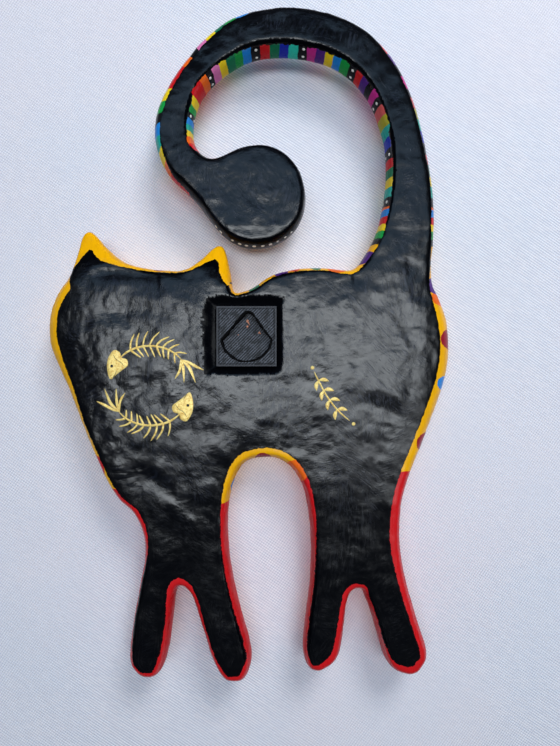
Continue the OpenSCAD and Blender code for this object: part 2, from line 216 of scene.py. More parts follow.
# ---------------------------------------------------------------- the skin
def build_skin():
    ring, _, _ = resample(dense(outline), 1.3)
    tg = np.roll(ring, -1, 0)[:, :2] - np.roll(ring, 1, 0)[:, :2]
    tg /= np.linalg.norm(tg, axis=1)[:, None]
    inn = np.stack([-tg[:, 1], tg[:, 0]], 1)
    n = len(ring)
    back = [(1 - math.cos(t), math.sin(t)) for t in np.radians(np.linspace(0, 90, 11))]
    rows = []
    for a, h in reversed(back[1:]):
        w = np.minimum(7, ring[:, 2] * 1.5)
        rows.append(np.stack([ring[:, 0] + inn[:, 0] * w * a, np.full(n, -14 - 9 * h), ring[:, 1] + inn[:, 1] * w * a], 1))
    for a, h in back:
        w = ring[:, 2]
        rows.append(np.stack([ring[:, 0] + inn[:, 0] * w * a, np.full(n, -14 + 13 * h), ring[:, 1] + inn[:, 1] * w * a], 1))
    co = np.concatenate(rows)
    m = len(rows)
    i = np.arange(n)
    k = (i + 1) % n
    quads = np.concatenate([np.stack([j * n + i, j * n + k, (j + 1) * n + k, (j + 1) * n + i], 1) for j in range(m - 1)])
    faces = [tuple(q) for q in quads.tolist()]
    faces.append(tuple(reversed(range(n))))
    faces.append(tuple(range((m - 1) * n, m * n)))
    me = bpy.data.meshes.new("raw")
    me.from_pydata((co / 1000).tolist(), [], faces)
    ob = bpy.data.objects.new("raw", me)
    coll.objects.link(ob)
    mod = ob.modifiers.new("remesh", "REMESH")
    mod.mode = "VOXEL"
    mod.voxel_size = 0.00125
    bpy.context.view_layer.update()
    ev = ob.evaluated_get(bpy.context.evaluated_depsgraph_get())
    out = bpy.data.meshes.new_from_object(ev)
    bpy.data.objects.remove(ob)
    nv, nf = len(out.vertices), len(out.polygons)
    v = np.zeros(nv * 3)
    out.vertices.foreach_get("co", v)
    v = v.reshape(-1, 3) * 1000
    ls = np.zeros(len(out.loops), int)
    out.loops.foreach_get("vertex_index", ls)
    st = np.zeros(nf, int)
    out.polygons.foreach_get("loop_start", st)
    tot = np.zeros(nf, int)
    out.polygons.foreach_get("loop_total", tot)
    assert (tot == 4).all()
    f = ls.reshape(-1, 4)
    bpy.data.meshes.remove(out)
    return v, f


skin_v, skin_f = build_skin()
edge_pairs = np.unique(np.sort(np.concatenate([skin_f[:, [k, (k + 1) % 4]] for k in range(4)]), axis=1), axis=0)


def relax(v, rounds, amount=0.5):
    e0, e1 = edge_pairs.T
    deg = np.bincount(e0, minlength=len(v)) + np.bincount(e1, minlength=len(v))
    for _ in range(rounds):
        acc = np.stack([np.bincount(e0, v[e1, k], len(v)) + np.bincount(e1, v[e0, k], len(v)) for k in range(3)], 1)
        v = v + amount * (acc / deg[:, None] - v)
    return v


skin_v = relax(skin_v, 5)


def normals(v, f):
    a = np.cross(v[f[:, 2]] - v[f[:, 0]], v[f[:, 3]] - v[f[:, 1]])
    n = np.stack([sum(np.bincount(f[:, k], a[:, c], len(v)) for k in range(4)) for c in range(3)], 1)
    return n / np.maximum(np.linalg.norm(n, axis=1), 1e-9)[:, None]


flat = skin_v[:, [0, 2]]
dist, place, side = near_curve(flat, rim, rim_tree, rim_s)
inset = dist * side

X, Y, Z = skin_v.T
back_t = np.clip((Y + 14) / 13, 0, 1)      # 0 at the widest line, 1 on the flat of the back
front_t = np.clip((-14 - Y) / 9, 0, 1)     # 0 at the widest line, 1 on the flat of the front

# the head's top edge without its ears
crown_x = [11, 22, 33, 45, 57, 72, 85, 98, 112, 126]
crown_z = [20, 27, 31, 33, 33.5, 35, 36, 36, 32, 24]
above = Z - np.interp(X, crown_x, crown_z)
in_head = (X > 10) & (X < 132) & (Z > 15) & (Z < np.where(X < 60, 53.5, 66))
ear = np.where(in_head, sstep(-3, 22, above), 0)
ear *= np.where(X < 60, sstep(60, 40, X), sstep(72, 88, X))


def oval(cx, cz, rx, rz):
    return np.clip(1 - ((X - cx) / rx) ** 2 - ((Z - cz) / rz) ** 2, 0, 1)


def bump(cx, cz, rx, rz, tilt=0.0):
    c, s = math.cos(math.radians(tilt)), math.sin(math.radians(tilt))
    u, w = (X - cx) * c + (Z - cz) * s, -(X - cx) * s + (Z - cz) * c
    return np.exp(-((u / rx) ** 2 + (w / rz) ** 2))


# the back: long swellings, dents, the pocket round the block, the thinner ears
P = np.stack([X, Y * 0.4, Z], 1)
back = 0.55 * fbm(n1, P / 46, 2) + 0.34 * fbm(n2, P / 17, 2)
back += 0.9 * bump(6, -74, 11, 8, 20) + 0.7 * bump(-9, -68, 7, 5, -30) + 0.5 * bump(20, -88, 14, 9)
back -= 0.9 * bump(66, -45, 9, 8) + 0.5 * bump(60, -54, 5, 10, 20) - 0.5 * bump(66, -45, 17, 15)
back += 0.7 * bump(48, -126, 16, 6, 35) - 0.6 * bump(56, -116, 20, 5, 40)
back += 0.6 * bump(-100, -52, 22, 6, 25) - 0.6 * bump(-92, -62, 20, 4, 25)
back += 0.6 * bump(-74, -160, 5, 18, 10) - 0.6 * bump(-64, -150, 4, 20, 10)
back -= 0.7 * bump(84, 4, 24, 8, -12) - 0.6 * bump(60, 12, 20, 6)
back -= 1.2 * bump(72, 30, 50, 5)
head_roll = 1.3 * sstep(26, 0, inset) * np.where(X > 60, 1, 0.2) * sstep(-90, -30, Z) * (Z < 60)
back -= head_roll + 0.9 * sstep(20, 0, inset) * (X < -70) * sstep(-110, -60, Z) * sstep(60, 10, Z)
knob_r = np.hypot(X + 1, Z - 85)
back -= 0.15 * sstep(20, 34, knob_r) * (knob_r < 45)
bx, bz = X - 1, Z + 12.5
box_d = np.maximum(np.abs(bx), np.abs(bz))
side_w = np.where(np.abs(bx) >= np.abs(bz), np.where(bx > 0, 11.0, 4.7), np.where(bz > 0, 9.0, 6.4))
rounder = np.hypot(np.maximum(np.abs(bx) - 15, 0), np.maximum(np.abs(bz) - 15, 0)) + 15
moat_d = 0.55 * box_d + 0.45 * rounder - 19.4
side_w = side_w + 0.9 * n4(np.stack([X, Z, 0 * X], 1) / 5.5)
pocket = np.clip(1 - moat_d / side_w, 0, 1)
pocket = sstep(0, 0.85, pocket)
well = sstep(19.7, 18.0, box_d)
moat = np.clip((side_w * 0.93 - moat_d), -6, 6)
skin_y = Y + back_t * back * (1 - 0.7 * pocket)
skin_y = skin_y - back_t * (2.5 * pocket + 6.5 * well)
skin_y = np.where((back_t > 0.98) & (box_d > 20.4), np.maximum(skin_y, -3.6), skin_y)
skin_y = np.where(Y > -14, -14 + (skin_y + 14) * (1 - 0.62 * ear), skin_y)

# the front: the relief that the pads make, and the thinner ears
relief = 7.0 * oval(72, -14, 56, 44) ** 0.6 + 5.0 * oval(-98, -42, 32, 54) ** 0.6 + 4.0 * oval(66, -98, 27, 39) ** 0.6 + 4.0 * oval(-9, 85, 26, 28) ** 0.55
relief += 2.0 * oval(-30, -30, 60, 50)
relief -= 2.2 * bump(94, -4, 13, 8) + 2.2 * bump(50, -4, 13, 8) - 0.9 * bump(72, 4, 7, 12)
relief -= 1.4 * bump(72, -55, 46, 5)
relief += 1.1 * bump(-109, -238, 8, 8) + 1.1 * bump(-48, -235, 8, 8) + 1.1 * bump(9, -242, 8, 8) + 1.1 * bump(70, -239, 8, 8)
relief += 0.5 * fbm(n3, P / 40, 2) + 0.25 * fbm(n2, P / 15, 2)
skin_y = np.where(Y < -14, skin_y - front_t * relief * (1 - ear), skin_y)
skin_y = np.where(Y < -14, -14 + (skin_y + 14) * (1 - 0.45 * ear), skin_y)
# the ears are hollowed a little in front
skin_y += np.where(Y < -14, front_t * 1.6 * (bump(110, 44, 6, 9, 25) + bump(24, 38, 6, 8, -20)), 0)
skin_v = np.stack([X, skin_y, Z], 1)
skin_v = relax(skin_v, 1, 0.4)

# paper: wrinkles and overlapping strips, along the surface's own direction
N = normals(skin_v, skin_f)
Pw = skin_v + 5 * np.stack([n1(skin_v / 23), n2(skin_v / 23), n3(skin_v / 23)], 1)
crease = (1 - np.abs(n4(Pw * np.array([1 / 15, 1 / 9, 1 / 6.5])))) ** 7
crease2 = (1 - np.abs(n3(Pw * np.array([1 / 6, 1 / 9, 1 / 16]) + 9))) ** 7
patchy = sstep(-0.1, 0.5, n1(skin_v / 31 + 4))
fine = 0.06 * fbm(n2, Pw / 4.5, 2) + 0.16 * n3(Pw / 9) + 0.2 * n1(Pw / 14) + 0.26 * patchy * (crease - 0.3) * 0.7 + 0.2 * (1 - patchy) * (crease2 - 0.3) * 0.7
calm = 1 - 0.75 * pocket * (Y > -14)
skin_v = skin_v + N * (fine * calm)[:, None]
skin_n = normals(skin_v, skin_f)
X, Y, Z = skin_v.T

# ---------------------------------------------------------------- where the black of the back ends: a line drawn inside the outline
def width_at(marks):
    """Width of bare edge at each point of the rim, from (x, z, width) marks in the outline's order."""
    at = np.array([s_at(x, z) for x, z, _ in marks])
    w = np.array([m[2] for m in marks], float)
    o = np.argsort(at)
    return np.interp(rim_s, at[o], w[o], period=rim_len)


bare = width_at([
    (10, 18, 0.8), (-4, 22, 1.0), (-25, 33, 1.1), (-54, 35, 1.3), (-67, 33.5, 2.2), (-74, 36, 2.4), (-81.5, 47, 4.4), (-88, 60.5, 5.4),
    (-94.5, 100, 6.0), (-89, 136, 5.8), (-63, 172, 6.0), (-20, 182.5, 6.4), (9, 174.5, 6.6), (32, 153.5, 6.8), (38.5, 130.5, 6.2), (36, 119, 3.6), (32, 113.5, 0.3),
    (25, 110.5, -3), (-39, 85, -3), (26.5, 67.5, -3), (37, 81, -2), (41, 85.5, 1.6), (54, 97.5, 3.2), (65, 126.5, 3.4), (56, 160.5, 2.4), (32, 192, 1.6),
    (-4, 211.5, 1.0), (-43.5, 212.5, 0.6), (-81, 198, 0.8), (-106.5, 167.5, 1.0), (-121, 122.5, 0.8), (-125.5, 97, 0.6), (-127.5, 76, 1.0), (-127, 62, 1.7), (-127, 50, 0.8),
    (-125.5, 37, 0.3), (-126.5, 25, 1.0),
    (-131, 14, 4.0), (-135.5, 1.5, 5.2), (-137.5, -15, 5.8), (-133.5, -46, 6.0), (-126.5, -66, 6.0), (-118.5, -87, 5.8), (-110.5, -107, 5.6), (-104.5, -130, 6.0),
    (-103.5, -148, 6.2), (-106, -168, 5.6), (-110.5, -189.5, 4.8), (-117, -211, 4.4), (-122, -228, 4.6), (-120.5, -238.5, 5.0), (-114, -244, 5.0), (-104, -243.5, 4.8),
    (-95.5, -236, 4.4), (-90, -223.5, 3.8), (-85.5, -207.5, 3.2), (-80, -191.5, 2.8), (-75.5, -184.5, 2.4), (-71, -186.5, 3.2), (-67, -197.5, 3.6), (-64.5, -215, 4.0),
    (-62, -229.5, 4.8), (-56.5, -238.5, 4.2), (-47, -242.5, 3.4), (-39.5, -237, 3.2), (-37, -225.5, 3.4), (-38.5, -206, 3.8), (-41.5, -182.5, 3.6), (-42.5, -158, 3.8),
    (-41, -133.5, 4.6), (-36.5, -114, 5.0), (-28.5, -101, 5.2), (-18, -95, 5.4), (-6, -95, 5.6), (3.5, -99, 5.8), (9.5, -109, 5.8), (13.5, -124.5, 5.6),
    (14.5, -145.5, 5.8), (12.5, -168, 6.2), (7, -195, 6.2), (0, -220, 5.8), (-2, -233, 4.8), (1.5, -245, 3.6), (10.5, -249.5, 3.0), (20, -245, 2.4), (26.5, -230, 1.6),
    (33.5, -208, 1.4), (40.5, -188.5, 2.0), (44.5, -183.2, 3.4), (47.5, -185, 6.2), (50.5, -190.5, 6.4), (53, -211, 6.4), (56, -230, 6.2), (61.5, -242.5, 3.6),
    (71, -247, 2.6), (79.5, -241.5, 1.8), (82, -231, 1.3), (79.5, -209, 0.5), (74.5, -181, 0.4), (71.5, -161.5, 0.9), (73.5, -146, 2.2), (79.5, -134, 2.8),
    (88.5, -125.5, 2.0), (97, -113.5, 1.6), (105.5, -95, 1.4), (114.5, -73.5, 1.0), (124, -49, 2.2), (132.5, -30, 3.8), (138, -3, 5.0), (134, 14, 5.0), (128, 24, 5.4),
    (11.5, 21, 2.5),
])
ear_a, ear_b = s_at(126.5, 26), s_at(11.5, 24)
keep = ~((rim_s > ear_a) & (rim_s < ear_b))
line = np.where(keep)[0]
# those widths are as seen from straight behind the camera's middle, so an edge that turns away needs more and one that faces it less
turned_off = -((rim[:, :2] - np.array([-21.3, -37.0])) * rim_in).sum(1) * 0.0375
seen = bare.copy()
for _ in range(4):
    rise = np.sqrt(np.clip(1 - (1 - np.clip(bare / rim[:, 2], 0, 1)) ** 2, 0, 1))
    over = np.hypot(np.maximum(turned_off, 0), rim[:, 2]) - rim[:, 2]
    bare = np.where(seen > 0, np.clip(seen - over + turned_off * np.where(turned_off > 0, rise, rise + 0.4), 0.05, 8.5), seen)
body_line = rim[:, :2] + rim_in * bare[:, None]
ear_line = np.array([(121, 31.5), (116, 36), (112.5, 42), (108.5, 47.2), (106, 46.2), (103.5, 42), (99, 38.6), (92, 36.2), (84, 34.2), (74, 32.4), (62, 31.2), (50, 30.6), (40, 31.4),
                     (33.5, 34.6), (27.5, 38.2), (22.6, 40.4), (20.2, 37.8), (19.6, 31.5), (17.2, 25.4), (13.8, 21.6)])
first = np.searchsorted(rim_s, ear_a)
last = np.searchsorted(rim_s, ear_b)
black_line = np.concatenate([body_line[:first], ear_line, body_line[last:]])
bl, bl_s, bl_len = resample(black_line, 0.8)
bl_tree = tree2(bl)
bd, _, bside = near_curve(skin_v[:, [0, 2]], bl, bl_tree, bl_s)
cover = bd * bside

# the tail's stripes: a place along the tail that runs the same on both of its edges
inner, inner_s, inner_len = resample(dense([p[:2] for p in [spine[-1]] + tail_inner], False), 0.8, False)
outer, outer_s, outer_len = resample(dense([p[:2] for p in reversed(tail_outer)], False), 0.8, False)
inner_tree, outer_tree = tree2(inner), tree2(outer)
pairs = [((-74, 36), (-126.5, 20)), ((-81.5, 47), (-127, 45)), ((-92.5, 79.5), (-127.5, 78)), ((-94, 112), (-122, 115)), ((-85, 146), (-112, 152)),
         ((-69.8, 167), (-88, 191)), ((-36, 181), (-42, 212.5)), ((-4, 180.5), (-3, 211)), ((26, 161), (42, 181)), ((38.5, 137), (65, 131)), ((32.5, 113.5), (42, 86))]


def at_on(curve, tree, s, p):
    return near_curve(np.array([p], float), curve, tree, s, False)[1][0]


pair_in = [at_on(inner, inner_tree, inner_s, a) for a, _ in pairs]
pair_out = [at_on(outer, outer_tree, outer_s, b) for _, b in pairs]


def tail_place(q):
    di, si, _ = near_curve(q, inner, inner_tree, inner_s, False)
    do, so, _ = near_curve(q, outer, outer_tree, outer_s, False)
    w = di / np.maximum(di + do, 1e-6)
    return si * (1 - w) + np.interp(so, pair_out, pair_in) * w


tail_u = tail_place(skin_v[:, [0, 2]])


def half_plane(x0, z0, x1, z1):
    """Signed distance to a line, plus on its left."""
    l = math.hypot(x1 - x0, z1 - z0)
    return ((x1 - x0) * (Z - z0) - (z1 - z0) * (X - x0)) / l


# plus inside the tail, before the knob; plus inside the knob
root_d = half_plane(-74, 36, -128, 44) * -1
is_loop = ((X < -60) & (Z > 20)) | (Z > 121) | ((X > 30) & (Z > 75))
tail_f = np.where(is_loop, np.minimum(40, np.where(Z < 90, np.where(X < -60, root_d, 40), 40)), -40)
knob_f = np.where((Z > 41 + 0.8 * np.maximum(X - 4.5, 0)) & (Z < 125) & (X > -50) & (X < 60), half_plane(39.6, 87.9, 32.7, 113.7), -40)
knob_f = np.where(knob_f < -8, -40, knob_f)
leg_f = np.where(X < -4, -104 - Z, np.interp(X, [0, 16, 60, 97], [-126, -125, -121, -113]) - Z)
leg_f += 2.2 * np.abs(np.sin(X / 7.5)) - 1.1

# ---------------------------------------------------------------- materials
def srgb(r, g, b):
    def one(c):
        c /= 255
        return c / 12.92 if c <= 0.04045 else ((c + 0.055) / 1.055) ** 2.4

    return (one(r), one(g), one(b), 1.0)


class Tree:
    """Short calls for a material's nodes."""

    def __init__(self, name):
        self.mat = bpy.data.materials.new(name)
        self.mat.use_nodes = True
        self.t = self.mat.node_tree
        self.t.nodes.clear()
        self.out = self.t.nodes.new("ShaderNodeOutputMaterial")
        self.shader = self.t.nodes.new("ShaderNodeBsdfPrincipled")
        self.t.links.new(self.shader.outputs[0], self.out.inputs[0])

    def put(self, socket, value):
        if value is None:
            return
        if isinstance(value, bpy.types.NodeSocket):
            self.t.links.new(value, socket)
        else:
            socket.default_value = value

    def set(self, **kw):
        for k, v in kw.items():
            self.put(self.shader.inputs[k.replace("_", " ")], v)

    def attr(self, name):
        n = self.t.nodes.new("ShaderNodeAttribute")
        n.attribute_name = name
        return n.outputs["Fac"]

    def pos(self):
        return self.t.nodes.new("ShaderNodeTexCoord").outputs["Object"]

    def mapping(self, vec, scale=(1, 1, 1), rot=(0, 0, 0), loc=(0, 0, 0)):
        n = self.t.nodes.new("ShaderNodeMapping")
        n.inputs["Scale"].default_value = scale
        n.inputs["Rotation"].default_value = rot
        n.inputs["Location"].default_value = loc
        self.put(n.inputs["Vector"], vec)
        return n.outputs[0]

    def noise(self, vec, scale, detail=2.0, rough=0.5, distort=0.0, colour=False):
        n = self.t.nodes.new("ShaderNodeTexNoise")
        self.put(n.inputs["Vector"], vec)
        n.inputs["Scale"].default_value = scale
        n.inputs["Detail"].default_value = detail
        n.inputs["Roughness"].default_value = rough
        n.inputs["Distortion"].default_value = distort
        return n.outputs["Color" if colour else "Fac"]

    def voronoi(self, vec, scale, feature="F1", out="Distance", random=1.0):
        n = self.t.nodes.new("ShaderNodeTexVoronoi")
        n.feature = feature
        self.put(n.inputs["Vector"], vec)
        n.inputs["Scale"].default_value = scale
        n.inputs["Randomness"].default_value = random
        return n.outputs[out]

    def wave(self, vec, scale, distort=0.0, direction="X", detail=2.0, dscale=1.0):
        n = self.t.nodes.new("ShaderNodeTexWave")
        n.bands_direction = direction
        self.put(n.inputs["Vector"], vec)
        n.inputs["Scale"].default_value = scale
        n.inputs["Distortion"].default_value = distort
        n.inputs["Detail"].default_value = detail
        n.inputs["Detail Scale"].default_value = dscale
        return n.outputs["Fac"]

    def math(self, op, a, b=None, c=None, clamp=False):
        n = self.t.nodes.new("ShaderNodeMath")
        n.operation = op
        n.use_clamp = clamp
        for k, v in enumerate((a, b, c)):
            self.put(n.inputs[k], v)
        return n.outputs[0]

    def vmath(self, op, a, b=None):
        n = self.t.nodes.new("ShaderNodeVectorMath")
        n.operation = op
        self.put(n.inputs[0], a)
        if op == "SCALE":
            self.put(n.inputs["Scale"], b)
        elif b is not None:
            self.put(n.inputs[1], b)
        return n.outputs[0]

    def ramp(self, fac, lo, hi, a=0.0, b=1.0, smooth=True):
        n = self.t.nodes.new("ShaderNodeMapRange")
        n.interpolation_type = "SMOOTHSTEP" if smooth else "LINEAR"
        self.put(n.inputs["Value"], fac)
        n.inputs["From Min"].default_value = lo
        n.inputs["From Max"].default_value = hi
        n.inputs["To Min"].default_value = a
        n.inputs["To Max"].default_value = b
        return n.outputs[0]

    def mix(self, fac, a, b, blend="MIX"):
        n = self.t.nodes.new("ShaderNodeMix")
        n.data_type = "RGBA"
        n.blend_type = blend
        self.put(n.inputs[0], fac)
        self.put(n.inputs[6], a)
        self.put(n.inputs[7], b)
        return n.outputs[2]

    def bands(self, fac, stops):
        """Flat bands of colour; stops are (place from 0 to 1, colour)."""
        n = self.t.nodes.new("ShaderNodeValToRGB")
        n.color_ramp.interpolation = "CONSTANT"
        e = n.color_ramp.elements
        e[0].position, e[0].color = 0.0, stops[0][1]
        e.remove(e[1])
        for p, c in stops[1:]:
            x = e.new(p)
            x.color = c
        self.put(n.inputs[0], fac)
        return n.outputs[0]

    def bump(self, height, strength, distance, normal=None):
        n = self.t.nodes.new("ShaderNodeBump")
        n.inputs["Strength"].default_value = strength
        n.inputs["Distance"].default_value = distance
        self.put(n.inputs["Height"], height)
        self.put(n.inputs["Normal"], normal)
        return n.outputs[0]


yellow, red, maroon = srgb(243, 178, 8), srgb(206, 24, 30), srgb(150, 22, 42)
orange, purple, magenta = srgb(238, 104, 24), srgb(78, 34, 124), srgb(196, 40, 136)
green, dark_green, teal = srgb(20, 152, 66), srgb(16, 116, 78), srgb(26, 166, 152)
blue, navy, turquoise = srgb(24, 132, 216), srgb(26, 44, 176), srgb(44, 204, 178)
olive, salmon, pink = srgb(172, 164, 36), srgb(206, 84, 84), srgb(220, 118, 176)
black, white, cream = srgb(14, 14, 18), srgb(238, 236, 228), srgb(244, 226, 178)
lemon = srgb(238, 206, 26)

# the stripes from the tail's root to the knob; a dotted black band starts each group at its anchor
groups = [
    ((-78, 41), [purple, yellow, black, green, lemon, red, blue, orange]),
    ((-93.6, 78.5), [black, teal, lemon, dark_green, red]),
    ((-94.4, 111), [black, navy, teal, olive, salmon]),
    ((-85.5, 145), [black, magenta, black, purple, red]),
    ((-70, 167.5), [black, green, blue, lemon, purple, magenta]),
    ((-37, 181.5), [black, turquoise, navy, dark_green, red]),
    ((-5, 180.8), [black, blue, green, dark_green, lemon, pink]),
    ((25.5, 162), [black, orange, red, red, lemon, green]),
    ((38.6, 136.5), [black, blue, teal, lemon, orange, red]),
]
anchor = [at_on(inner, inner_tree, inner_s, p) for p, _ in groups] + [inner_len]
bands = [(0.0, purple)]
dot_bands = []
for k, (_, cols) in enumerate(groups):
    a, b = anchor[k], anchor[k + 1]
    w = (b - a) / len(cols)
    for j, c in enumerate(cols):
        start = a - (0 if k == 0 else w / 2) + j * w if k else a + j * w
        if k:
            start = a - 3.2 + j * (b - a) / len(cols)
        bands.append((start / inner_len, c))
        if k and j == 0:
            dot_bands.append(a)
half_i = next(i for i, (p, _) in enumerate(bands) if p > 0.5)


def skin_material(name, gloss=0.37, coat=0.05):
    t = Tree(name)
    P = t.pos()
    mm = t.vmath("SCALE", P, 1000.0)
    big = t.noise(P, 28, 2)
    mid = t.noise(P, 130, 3, 0.6)
    small = t.noise(P, 620, 2, 0.6)
    jag = t.noise(P, 330, 3, 0.65)

    # stripes
    wob = t.math("MULTIPLY", t.math("SUBTRACT", mid, 0.5), 2.2)
    u = t.math("DIVIDE", t.math("ADD", t.attr("tail_u"), wob), inner_len)
    half = bands[half_i][0]
    a = t.bands(t.math("DIVIDE", u, half, clamp=True), [(p / half, c) for p, c in bands[:half_i]])
    b = t.bands(t.math("DIVIDE", t.math("SUBTRACT", u, half), 1 - half, clamp=True), [(0, bands[half_i - 1][1])] + [((p - half) / (1 - half) + 0.0005, c) for p, c in bands[half_i:]])
    stripes = t.mix(t.math("GREATER_THAN", u, half), a, b)

    # body, legs, knob
    leg = t.math("GREATER_THAN", t.math("ADD", t.attr("leg_f"), t.math("MULTIPLY", t.math("SUBTRACT", jag, 0.5), 1.5)), 0.0)
    paint = t.mix(leg, yellow, red)
    for nm, col in (("p_maroon", maroon), ("p_orange", orange), ("p_blue", blue), ("p_purple", purple), ("p_green", dark_green), ("p_red", red)):
        f = t.math("GREATER_THAN", t.math("ADD", t.attr(nm), t.math("MULTIPLY", t.math("SUBTRACT", jag, 0.5), 1.6)), 0.0)
        paint = t.mix(f, paint, col)
    tail = t.math("GREATER_THAN", t.math("ADD", t.attr("tail_f"), t.math("MULTIPLY", t.math("SUBTRACT", jag, 0.5), 1.2)), 0.0)
    paint = t.mix(tail, paint, stripes)
    knob_m = t.math("GREATER_THAN", t.math("ADD", t.attr("knob_f"), t.math("MULTIPLY", t.math("SUBTRACT", jag, 0.5), 2.0)), 0.0)
    paint = t.mix(knob_m, paint, black)
    # brushed paint: a little lighter and darker along strokes, thin places
    stroke = t.noise(t.mapping(P, (1, 1, 0.22), (0, 0.6, 0)), 420, 3, 0.6)
    paint = t.mix(t.ramp(stroke, 0.35, 0.75, 0.0, 0.22), paint, t.mix(1.0, paint, (0.55, 0.42, 0.35, 1), "MULTIPLY"))
    paint = t.mix(t.ramp(big, 0.45, 0.8, 0.0, 0.16), paint, t.mix(1.0, paint, (1.0, 0.86, 0.8, 1), "MULTIPLY"))

    # the black of the back: satin black, brushed along the edges and across the middle, with drier and greyer strokes
    # that also stand in for part of the sheen as a painted reflection
    def turned(vec, angle, stretch):
        return t.mapping(t.mapping(vec, rot=(0, math.radians(angle), 0)), (stretch, 1, 1))

    swirl = t.noise(P, 10, 1, colour=True)
    warped = t.vmath("ADD", P, t.vmath("SCALE", t.vmath("SUBTRACT", swirl, (0.5, 0.5, 0.5)), 0.07))
    comb = t.t.nodes.new("ShaderNodeCombineXYZ")
    t.put(comb.inputs[0], t.math("MULTIPLY", t.attr("rim_place"), 0.00012))
    t.put(comb.inputs[2], t.math("MULTIPLY", t.attr("inset"), 0.001))
    d_edge = t.noise(comb.outputs[0], 950, 4, 0.62)
    d_a = t.noise(turned(warped, 38, 0.13), 900, 4, 0.62)
    d_b = t.noise(turned(warped, -15, 0.15), 760, 4, 0.62)
    d_c = t.noise(turned(warped, 96, 0.14), 820, 4, 0.62)

    def blend(f, a, b):
        return t.math("ADD", a, t.math("MULTIPLY", f, t.math("SUBTRACT", b, a)))

    dry = blend(t.ramp(t.noise(P, 17, 2), 0.44, 0.56), d_a, d_b)
    dry = blend(t.ramp(t.noise(P, 23, 2, 0.5, 0.4), 0.5, 0.6), dry, d_c)
    near_rim = t.ramp(t.math("ADD", t.attr("inset"), t.math("MULTIPLY", t.math("SUBTRACT", big, 0.5), 9)), 6, 12, 1, 0)
    dry = blend(near_rim, dry, d_edge)
    moat = t.math("ADD", t.attr("moat"), t.math("MULTIPLY", t.math("SUBTRACT", jag, 0.5), 2.6))
    moat = t.ramp(t.math("ADD", moat, t.math("MULTIPLY", t.math("SUBTRACT", d_edge, 0.5), 5.0)), -1.6, 1.4)
    # the grey strokes and scratches fade out near the black's edge, towards the legs and in the gutter round the block:
    # painted shade that keeps these places deep black
    dust_sheen_shade_mask = t.math("MULTIPLY", t.ramp(t.attr("cover"), 2.0, 11.0), t.ramp(t.attr("upper"), -150, -95, 0.14, 1.0))
    dust_sheen_shade_mask = t.math("MULTIPLY", dust_sheen_shade_mask, t.math("SUBTRACT", 1.0, moat))
    patch = t.ramp(t.noise(P, 26, 4, 0.62), 0.34, 0.66)
    # the haunch is brushed more evenly than the rest
    sides = t.t.nodes.new("ShaderNodeSeparateXYZ")
    t.put(sides.inputs[0], P)
    smooth_side = t.ramp(sides.outputs[0], -0.085, -0.03, 0.3, 1.0)
    dust_and_sheen = t.math("MULTIPLY", t.ramp(dry, 0.42, 0.70), t.math("MULTIPLY", dust_sheen_shade_mask, t.math("ADD", 0.22, t.math("MULTIPLY", patch, 0.78))))
    ink = t.mix(dust_and_sheen, srgb(4, 5, 8), srgb(35, 40, 51))
    ink = t.mix(t.ramp(t.noise(P, 33, 3, 0.6), 0.45, 0.68, 0.15, 0.85), ink, t.mix(1.0, ink, srgb(140, 168, 222), "MULTIPLY"))
    scratch = t.noise(turned(warped, 60, 0.05), 1500, 2, 0.5)
    scratch = t.math("MULTIPLY", t.ramp(scratch, 0.69, 0.74), t.math("MULTIPLY", dust_sheen_shade_mask, t.ramp(t.noise(P, 40, 2), 0.52, 0.66)))
    ink = t.mix(t.math("MULTIPLY", scratch, 0.5), ink, srgb(112, 116, 124))

    edge = t.math("ADD", t.attr("cover"), t.math("MULTIPLY", t.math("SUBTRACT", jag, 0.5), 1.7))
    edge = t.math("ADD", edge, t.math("MULTIPLY", t.math("SUBTRACT", small, 0.5), 0.9))
    is_black = t.math("MULTIPLY", t.math("GREATER_THAN", edge, 0.0), t.math("GREATER_THAN", t.attr("back_f"), 0.0))
    colour = t.mix(is_black, paint, ink)

    # relief: fibres, brush hairs, small pits
    rough_b = t.math("ADD", t.ramp(dry, 0.34, 0.70, 0.19, 0.30), t.math("MULTIPLY", t.math("MULTIPLY", t.math("SUBTRACT", patch, 0.5), smooth_side), 0.12))
    rough_b = t.math("ADD", rough_b, t.math("MULTIPLY", t.math("SUBTRACT", mid, 0.5), 0.1))
    rough_p = t.ramp(stroke, 0.3, 0.8, 0.26, 0.42)
    rough = t.math("ADD", t.math("MULTIPLY", rough_b, is_black), t.math("MULTIPLY", rough_p, t.math("SUBTRACT", 1.0, is_black)))
    streaky = t.math("MULTIPLY", is_black, t.math("ADD", 0.35, t.math("MULTIPLY", dust_sheen_shade_mask, 0.65)))
    h = t.math("ADD", t.math("MULTIPLY", dry, streaky), t.math("MULTIPLY", stroke, 0.4))
    h = t.math("ADD", h, t.math("MULTIPLY", small, 0.3))
    pits = t.math("SUBTRACT", 1.0, t.ramp(t.voronoi(P, 170), 0.02, 0.14))
    pits = t.math("MULTIPLY", pits, t.ramp(t.noise(P, 31, 1), 0.55, 0.7))
    h = t.math("SUBTRACT", h, t.math("MULTIPLY", pits, 0.35))
    h = t.math("ADD", h, t.math("MULTIPLY", t.ramp(edge, -0.6, 0.6), 0.25))
    lump = t.math("MULTIPLY", t.noise(P, 55, 2, 0.45), smooth_side)
    n = t.bump(lump, 0.7, 0.0017)
    n = t.bump(t.math("MULTIPLY", mid, smooth_side), 0.5, 0.00055, n)
    n = t.bump(h, 0.7, 0.00017, n)
    t.set(Base_Color=colour, Roughness=rough, Normal=n, Specular_IOR_Level=gloss, Coat_Weight=coat, Coat_Roughness=0.2)
    return t.mat


